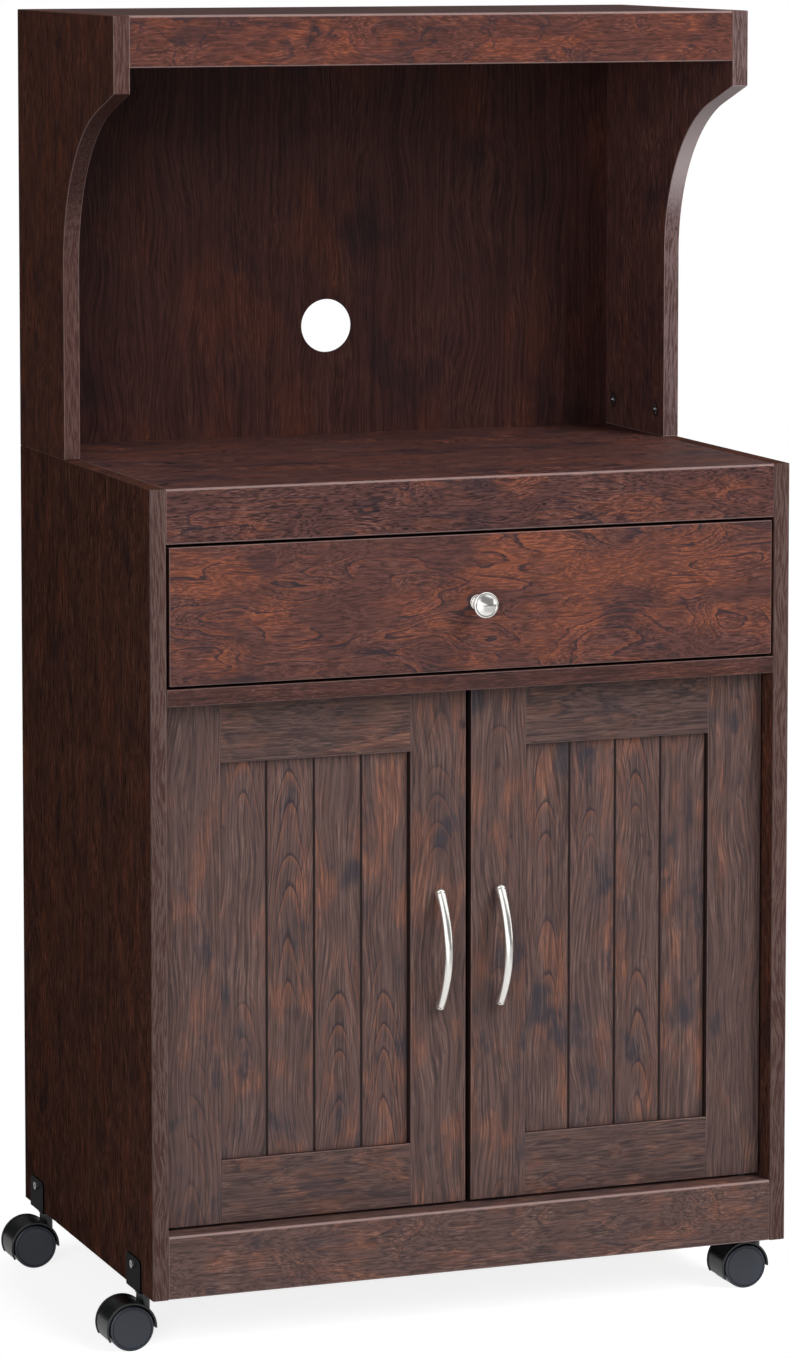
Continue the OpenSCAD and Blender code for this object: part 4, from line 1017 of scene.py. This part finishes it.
caster = {
    "wheelRadius": 0.020,
    "wheelWidth": 0.0155,
    "wheelGap": 0.0003,
    "trail": 0.0155,          # from the stem back to the axle
    "hoodInner": 0.0212,
    "hoodOuter": 0.0223,      # the shell between its lips
    "hoodLip": 0.0230,
    "lipWidth": 0.0024,
    "lipSlope": 0.0006,       # length of the slope from the shell up to a lip
    "hoodRounds": [0.0003, 0.0006, 0.0004, 0.0002],   # from the inner edge over the lip
    "hoodWidth": 0.0355,
    "hoodFrom": -3.0,         # the hood covers the turn between these, in degrees from level
    "hoodTo": 208.0,
    "webThickness": 0.0055,   # of the web between the two wheels
    "webFoot": (0.003, 0.004),    # half its width below the axle, and how far below
    "webRound": 0.0002,
    "webEdge": 0.0003,
    "bossRadius": 0.0060,
    "bossTop": 0.0472,
    "bossRound": 0.0008,
    "bossPoints": 48,
    "faceRound": 0.0016,      # rounding of a wheel's outer corner
    "ringRadius": 0.0174,     # the thin ring groove in a wheel's face
    "ringDepth": 0.0005,
    "ringStep": 0.0003,       # half the width of its floor and of its walls
    "ringInside": 0.2,        # its depth at its inner edge, over that of its floor
    "crown": 0.0006,          # how far the middle of the face stands out
    "crownStart": 0.0004,     # how far inside the ring's radius the crown starts
    "hubRadius": 0.0060,
    "hubSink": 0.0001,        # how far the hub's inner end lies behind the rim's
    "bevel": 0.0004,          # of the inner edges of hub and rim
    "treadBevel": 0.0010,
    "rimThickness": 0.0030,
    "faceThickness": 0.0035,
    "axleRadius": 0.0020,
    "axleBite": 0.004,        # how far the axle goes into each wheel
}


def sweptArc(outline, centre, start, stop, steps=72, edge=0.0005):
    # A closed outline in radius and Y, carried round an axis along Y from one angle to another.
    # Near both ends it is drawn in along its normals by a quarter circle, as a slab is.
    points, normals = outline
    turn = np.linspace(0, math.pi / 2, 4)
    drawnIn = edge * (1 - np.sin(turn))
    inset = np.concatenate([drawnIn, np.zeros(steps - 1), drawnIn[::-1]])
    ends = np.degrees(edge * (1 - np.cos(turn)) / points[:, 0].mean())
    middle = np.linspace(start + ends[-1], stop - ends[-1], steps + 1)[1:-1]
    angle = np.radians(np.concatenate([start + ends, middle, (stop - ends)[::-1]]))
    flat = points[None] - normals[None] * inset[:, None, None]
    return capped(np.stack([centre[0] + flat[..., 0] * np.cos(angle)[:, None],
                            centre[1] + flat[..., 1],
                            centre[2] + flat[..., 0] * np.sin(angle)[:, None]], -1))


def hoodShape(stem):
    # The shell with a lip round each end, the web between the wheels, and the boss for the stem.
    look = caster
    axle = (stem[0] - look["trail"], stem[1], look["wheelRadius"])
    inner, outer, lip = [look["hood" + part] for part in ("Inner", "Outer", "Lip")]
    half = look["hoodWidth"] / 2
    step = half - look["lipWidth"]
    slope = step + look["lipSlope"]
    corners = [(inner, -half), (lip, -half), (lip, -step), (outer, -slope), (outer, slope),
               (lip, step), (lip, half), (inner, half)]
    outline = roundedOutline(corners, look["hoodRounds"] + look["hoodRounds"][::-1], 4)
    shell = sweptArc(outline, axle, look["hoodFrom"], look["hoodTo"])
    rim = arcPoints((axle[0], axle[2]), (inner + outer) / 2, look["hoodFrom"], look["hoodTo"], 40)
    footX, footZ = look["webFoot"]
    foot = [(axle[0] + x, axle[2] - footZ) for x in (-footX, footX)]
    fan = roundedOutline(np.concatenate([rim, foot]), look["webRound"], 2)
    halfWeb = look["webThickness"] / 2
    web = slab(fan, along, axle[1] - halfWeb, axle[1] + halfWeb, look["webEdge"])
    return joined(shell, web, bossShape(stem, axle))


def bossShape(stem, axle):
    # A round post whose lower end follows the hood: its height there is the axle's plus the root of
    # the shell's radius squared less the distance from the axle squared. Its top edge is a quarter
    # circle.
    look = caster
    radius, top = look["bossRadius"], look["bossTop"]
    edge, count = look["bossRound"], look["bossPoints"]
    turn = np.arange(count) / count * 2 * math.pi
    bend = np.linspace(0, math.pi / 2, 6)
    radii = np.concatenate([[radius], radius - edge * (1 - np.cos(bend)), [0]])[:, None]
    shellRadius = (look["hoodInner"] + look["hoodOuter"]) / 2
    x, y = radii * np.cos(turn), radii * np.sin(turn)
    low = axle[2] + np.sqrt(shellRadius ** 2 - (x[:1] + look["trail"]) ** 2)
    high = np.concatenate([top - edge * (1 - np.sin(bend)), [top]])[:, None] + np.zeros(count)
    grid = np.stack([stem[0] + x, stem[1] + y, np.concatenate([low, high])], -1)
    return grid.reshape(-1, 3), gridFaces(*grid.shape[:2]) + [list(range(count))[::-1]]


def wheelProfile():
    # Radius and distance outwards of one wheel: its hub, the hollow behind the face, the rim, the
    # tread, a rounded outer corner, a thin ring groove and the crowned face. The crown's radius is
    # the sum of the squares of the ring's radius and the crown's height, over twice the height.
    look = caster
    hub, tread, width = look["hubRadius"], look["wheelRadius"], look["wheelWidth"]
    hollow, behind = tread - look["rimThickness"], width - look["faceThickness"]
    sink, bevel, wide = look["hubSink"], look["bevel"], look["treadBevel"]
    face, small = width - look["crown"], look["faceRound"]
    ring, step, depth = look["ringRadius"], look["ringStep"], look["ringDepth"]
    inside = [(0, sink), (hub - bevel, sink), (hub, sink + bevel), (hub, behind), (hollow, behind),
              (hollow, bevel), (hollow + bevel, 0), (tread - wide, 0), (tread, wide)]
    corner = arcPoints((tread - small, face - small), small, 0, 90, 6)
    groove = [(ring + 2 * step, face), (ring + step, face - depth), (ring, face - depth),
              (ring - step, face - depth * look["ringInside"])]
    crownRadius = (ring ** 2 + look["crown"] ** 2) / (2 * look["crown"])
    spread = math.degrees(math.asin((ring - look["crownStart"]) / crownRadius))
    crown = arcPoints((0, width - crownRadius), crownRadius, 90 - spread, 90, 12)
    return np.concatenate([inside, corner, groove, crown])


def wheelPair(stem):
    look = caster
    axle = np.array([stem[0] - look["trail"], stem[1], look["wheelRadius"]])
    inside = look["webThickness"] / 2 + look["wheelGap"]
    profile = wheelProfile() + [0, inside]
    reach = np.array([0, inside + look["axleBite"], 0])
    shaft = rod(axle - reach, axle + reach, along, look["axleRadius"])
    return joined(turned(profile, axle, along), turned(profile * [1, -1], axle, along), shaft)


stems = {
    "radius": 0.0035,
    "collarRadius": 0.0070,
    "collarThickness": 0.0030,
    "round": 0.0006,
}
plateLow, plateHigh = nodeBox("caster_plates")
stemLow, stemHigh = nodeBox("caster_stems")
stemXs = (stemLow[0] + stems["collarRadius"], stemHigh[0] - stems["collarRadius"])
stemYs = (stemLow[1] + stems["collarRadius"], stemHigh[1] - stems["collarRadius"])


def stemShape(x, y):
    # A turned pin: a shank with a chamfered lower end, and a collar with rounded edges.
    shank, collar, small = stems["radius"], stems["collarRadius"], stems["round"]
    bottom, top = stemLow[2], plateLow[2]
    under = top - stems["collarThickness"]
    profile = np.concatenate([
        [(0, bottom), (shank - small, bottom), (shank, bottom + small), (shank, under)],
        arcPoints((collar - small, under + small), small, -90, 0, 4),
        arcPoints((collar - small, top - small), small, 0, 90, 4),
        [(shank, top), (shank, stemHigh[2]), (0, stemHigh[2])]])
    return turned(profile, (x, y, 0), up, 48)


for column, x in zip(("left", "right"), stemXs):
    for row, y in zip(("front", "rear"), stemYs):
        corner = f"{row}_{column}"
        dress(makeObject(corner + "_caster_hood", hoodShape((x, y))), hoodPlastic,
              corner + "_swivel", "caster_plastic", corner + "_hood")
        dress(makeObject(corner + "_twin_wheels", wheelPair((x, y))), casterPlastic,
              corner + "_wheel_pair", "caster_plastic", corner + "_wheels")
pins = joined(*[stemShape(x, y) for x in stemXs for y in stemYs])
dress(makeObject("caster_pins", pins), zinc, "cabinet", "zinc_steel", "caster_stems")

plate = {
    "thickness": 0.0015,
    "width": 0.040,
    "cornerRadius": 0.0060,   # of the two upper corners
    "footRound": 0.0006,      # of the two lower ones
    "edge": 0.0003,
    "legGap": 0.0007,         # from the side panel's face to the lower leg
    "legInset": 0.0002,
    "legLift": 0.0001,
}


def anglePlate(outerX, y):
    # The upright leg is a rectangle with two rounded upper corners, carried through its thickness.
    # The lower leg is a plain board of the same width under the side panel.
    half, thick, edge = plate["width"] / 2, plate["thickness"], plate["edge"]
    way = 1 if outerX > 0 else -1
    panelFace = outerX - way * thick
    corners = rectangle((y - half, plateLow[2]), (y + half, plateHigh[2]))
    outline = roundedOutline(corners, [plate["footRound"]] * 2 + [plate["cornerRadius"]] * 2, 8)
    upright = slab(outline, across, *sorted((outerX, panelFace)), edge)
    leg = sorted((panelFace + way * plate["legGap"], panelFace - way * carcass["boardThickness"]))
    halfLeg = half - plate["legInset"]
    lower = board(np.array([leg[0], y - halfLeg, plateLow[2] + plate["legLift"]]),
                  np.array([leg[1], y + halfLeg, plateLow[2] + thick]), across, edge, edge)
    return joined(upright, lower)


plates = joined(*[anglePlate(x, y) for x in (plateLow[0], plateHigh[0]) for y in stemYs])
dress(makeObject("angle_plates", plates), blackSteel, "cabinet", "black_steel", "caster_plates")
print("casters")

# Nodes that keep their CAD shape get a material only.
nodeLooks = {
    "cam_fittings": zinc, "dowels": beech, "back_nails": zinc, "shelf_pins": zinc,
    "cabinet_runners": blackSteel, "wood_screws": zinc, "magnetic_catches": catchPlastic,
    "door_bushes": bushNylon,
    "drawer_left_side": drawerBoard, "drawer_right_side": drawerBoard,
    "drawer_back": drawerCrossBoard,
    "drawer_bottom": drawerCrossBoard, "drawer_runners": blackSteel, "drawer_runner_screws": zinc,
    "drawer_dowels": beech, "knob_screw": zinc, "left_handle_screws": zinc,
    "right_handle_screws": zinc, "left_door_pins": zinc, "right_door_pins": zinc,
    "left_door_strike": zinc, "right_door_strike": zinc,
}
for name, material in nodeLooks.items():
    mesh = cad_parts[name].data
    mesh.materials.clear()
    mesh.materials.append(material)
print("kept nodes:", len(nodeLooks))

stage = {
    "floorSize": 12.0,
    "floorColour": (0.60, 0.60, 0.60, 1.0),
    "floorGlow": 0.84,          # keeps the floor white for the camera, under a soft shadow
    "floorGloss": 0.45,         # what gloss sees of the floor near the cart, over its lit colour
    "frontGloss": 0.95,         # and of the floor in front, to the left
    "fadeHalf": (0.310, 0.215), # half width and depth of the patch round the cart that shows shadow
    "fadeEnd": 1.22,            # the patch is gone at this many times its size
    "nearFade": (1.2, 0.6),     # gloss sees the floor from the first distance, fully at the second
    "frontFade": (-0.5, -1.2),  # the same in Y for the floor in front
    "leftFade": (0.4, -0.6),    # and in X
    "worldLight": 0.04,
    "gloss": 1.30,              # what gloss sees around the cart
    "gapShare": 0.80,           # how much darker it is in the dark patch in front
    "backShare": 0.97,          # and behind the cart
}
studio = {
    # each pair runs from where a part doesn't show yet to where it is full, in a direction's parts
    "bandSlope": 0.55,
    "bandUnder": (0.05, 0.16),
    "bandOver": (0.92, 0.74),
    "bandFront": (0.10, -0.30),
    "bandRight": (0.93, 0.80),
    "bandLeft": (-0.45, -0.15),
    "spotRight": (0.10, -0.10),
    "spotUnder": (-0.32, -0.22),
    "spotOver": (-0.04, -0.14),
    "spotFront": (0.45, 0.25),
    "rear": (0.25, 0.75),
    "rearClimb": (0.8, 0.4),
}


def makeFloor():
    # A pale floor. Its distance from the cart is the fourth root of the sum of the fourth powers of
    # X and Y over half the size of the patch that keeps the cart's shadow; beyond it the floor is
    # plain white.
    size = stage["floorSize"] / 2
    mesh = bpy.data.meshes.new("floor")
    mesh.from_pydata([(-size, -size, 0), (size, -size, 0), (size, size, 0), (-size, size, 0)], [],
                     [(0, 1, 2, 3)])
    floor = link("floor", mesh)
    material, graph = newMaterial("pale floor")
    rays = graph.node("ShaderNodeLightPath")
    place = graph.node("ShaderNodeTexCoord")["Object"]
    distance = graph.node("ShaderNodeVectorMath", {"operation": "LENGTH"}, {0: place})["Value"]
    parts = graph.parts()
    halfX, halfY = stage["fadeHalf"]
    patch = (((parts[across] / halfX).absolute() ** 4
              + (parts[along] / halfY).absolute() ** 4) ** 0.25)
    fade = graph.smooth(patch, 1.0, stage["fadeEnd"])
    seen = rays["Is Camera Ray"]
    front = (graph.smooth(parts[along], *stage["frontFade"])
             * graph.smooth(parts[across], *stage["leftFade"]))
    near = graph.smooth(distance, *stage["nearFade"]) * stage["floorGloss"]
    near = rays["Is Glossy Ray"] * (near + front * stage["frontGloss"])
    matte = graph.node("ShaderNodeBsdfDiffuse", {}, {"Color": stage["floorColour"]})["BSDF"]
    white, glow = graph.emission(1.0), graph.emission(seen * stage["floorGlow"] + near)
    lifted = graph.node("ShaderNodeAddShader", {}, {0: matte, 1: glow})[0]
    blended = graph.node("ShaderNodeMixShader", {}, {0: seen * fade, 1: lifted, 2: white})[0]
    graph.node("ShaderNodeOutputMaterial", {}, {"Surface": blended})
    mesh.materials.append(material)


def makeWorld():
    # White for the camera. For gloss it is a bright studio with a dark patch in front: a band high
    # up, which slopes down to the right, and a spot at the left about level. The rear is dark too.
    world = bpy.data.worlds.new("studio")
    bpy.context.scene.world = world
    world.use_nodes = True
    graph = Graph(world.node_tree)
    rays = graph.node("ShaderNodeLightPath")
    direction = graph.parts("Generated")
    toRight, toRear, climb = direction[across], direction[along], direction[up]

    def range01(value, name):
        return graph.smooth(value, *studio[name])

    slope = climb + toRight * studio["bandSlope"]
    band = (range01(slope, "bandUnder") * range01(slope, "bandOver") * range01(toRear, "bandFront")
            * range01(toRight, "bandRight") * range01(toRight, "bandLeft"))
    spot = (range01(toRight, "spotRight") * range01(climb, "spotUnder")
            * range01(climb, "spotOver") * range01(toRear, "spotFront"))
    gap = band.maths("MAXIMUM", band, spot)
    behind = range01(toRear, "rear") * range01(climb.absolute(), "rearClimb")
    glossy = (1 - gap * stage["gapShare"]) * (1 - behind * stage["backShare"]) * stage["gloss"]
    gloss = rays["Is Glossy Ray"]
    strength = stage["worldLight"] * (1 - gloss) + glossy * gloss
    looking = rays["Is Camera Ray"]
    seen = looking.maths("MAXIMUM", looking, rays["Is Transmission Ray"])
    strength = strength * (1 - seen) + seen
    background = graph.node("ShaderNodeBackground", {},
                            {"Color": (1, 1, 1, 1), "Strength": strength})
    graph.node("ShaderNodeOutputWorld", {}, {"Surface": background["Background"]})


lamps = {
    # name: place, target, width, height, power in watts
    "key": ((1.9, -3.1, 2.5), (0.0, 0.0, 0.6), 1.6, 1.6, 66),
    "high": ((1.4, -1.9, 3.2), (0.0, 0.0, 0.6), 1.6, 1.6, 66),
    "left": ((-2.2, -3.4, 1.4), (0.0, 0.0, 0.6), 1.6, 1.6, 52),
}


def makeLamp(name, place, target, width, height, power):
    light = bpy.data.lights.new(name, "AREA")
    light.shape, light.size, light.size_y, light.energy = "RECTANGLE", width, height, power
    lamp = link(name, light)
    direction = np.array(target) - np.array(place)
    flat = math.hypot(direction[0], direction[1])
    lamp.location = place
    lamp.rotation_euler = (math.atan2(flat, -direction[2]), 0,
                           math.atan2(-direction[0], direction[1]))
    lamp.visible_glossy = False     # the studio above gives the gloss


camera = {
    "place": (-1.62006, -4.32151, 1.25614),
    "lens": 136.133,
    "sensor": 36.0,
    "reach": 100,           # how far it sees
    "pitchDown": 5.317,     # degrees below level
    "turnRight": 20.618,    # degrees
    "shiftY": -0.22,        # keeps the cart's uprights parallel, as the photograph does
}


def makeCamera():
    data = bpy.data.cameras.new("camera")
    data.lens, data.sensor_width, data.shift_y = camera["lens"], camera["sensor"], camera["shiftY"]
    data.clip_end = camera["reach"]
    view = link("camera", data)
    view.location = camera["place"]
    view.rotation_euler = (math.radians(90 - camera["pitchDown"]), 0,
                           -math.radians(camera["turnRight"]))
    bpy.context.scene.camera = view


makeFloor()
makeWorld()
for name, values in lamps.items():
    makeLamp(name, *values)
makeCamera()
bpy.context.scene.view_settings.view_transform = "Standard"
print("stage")
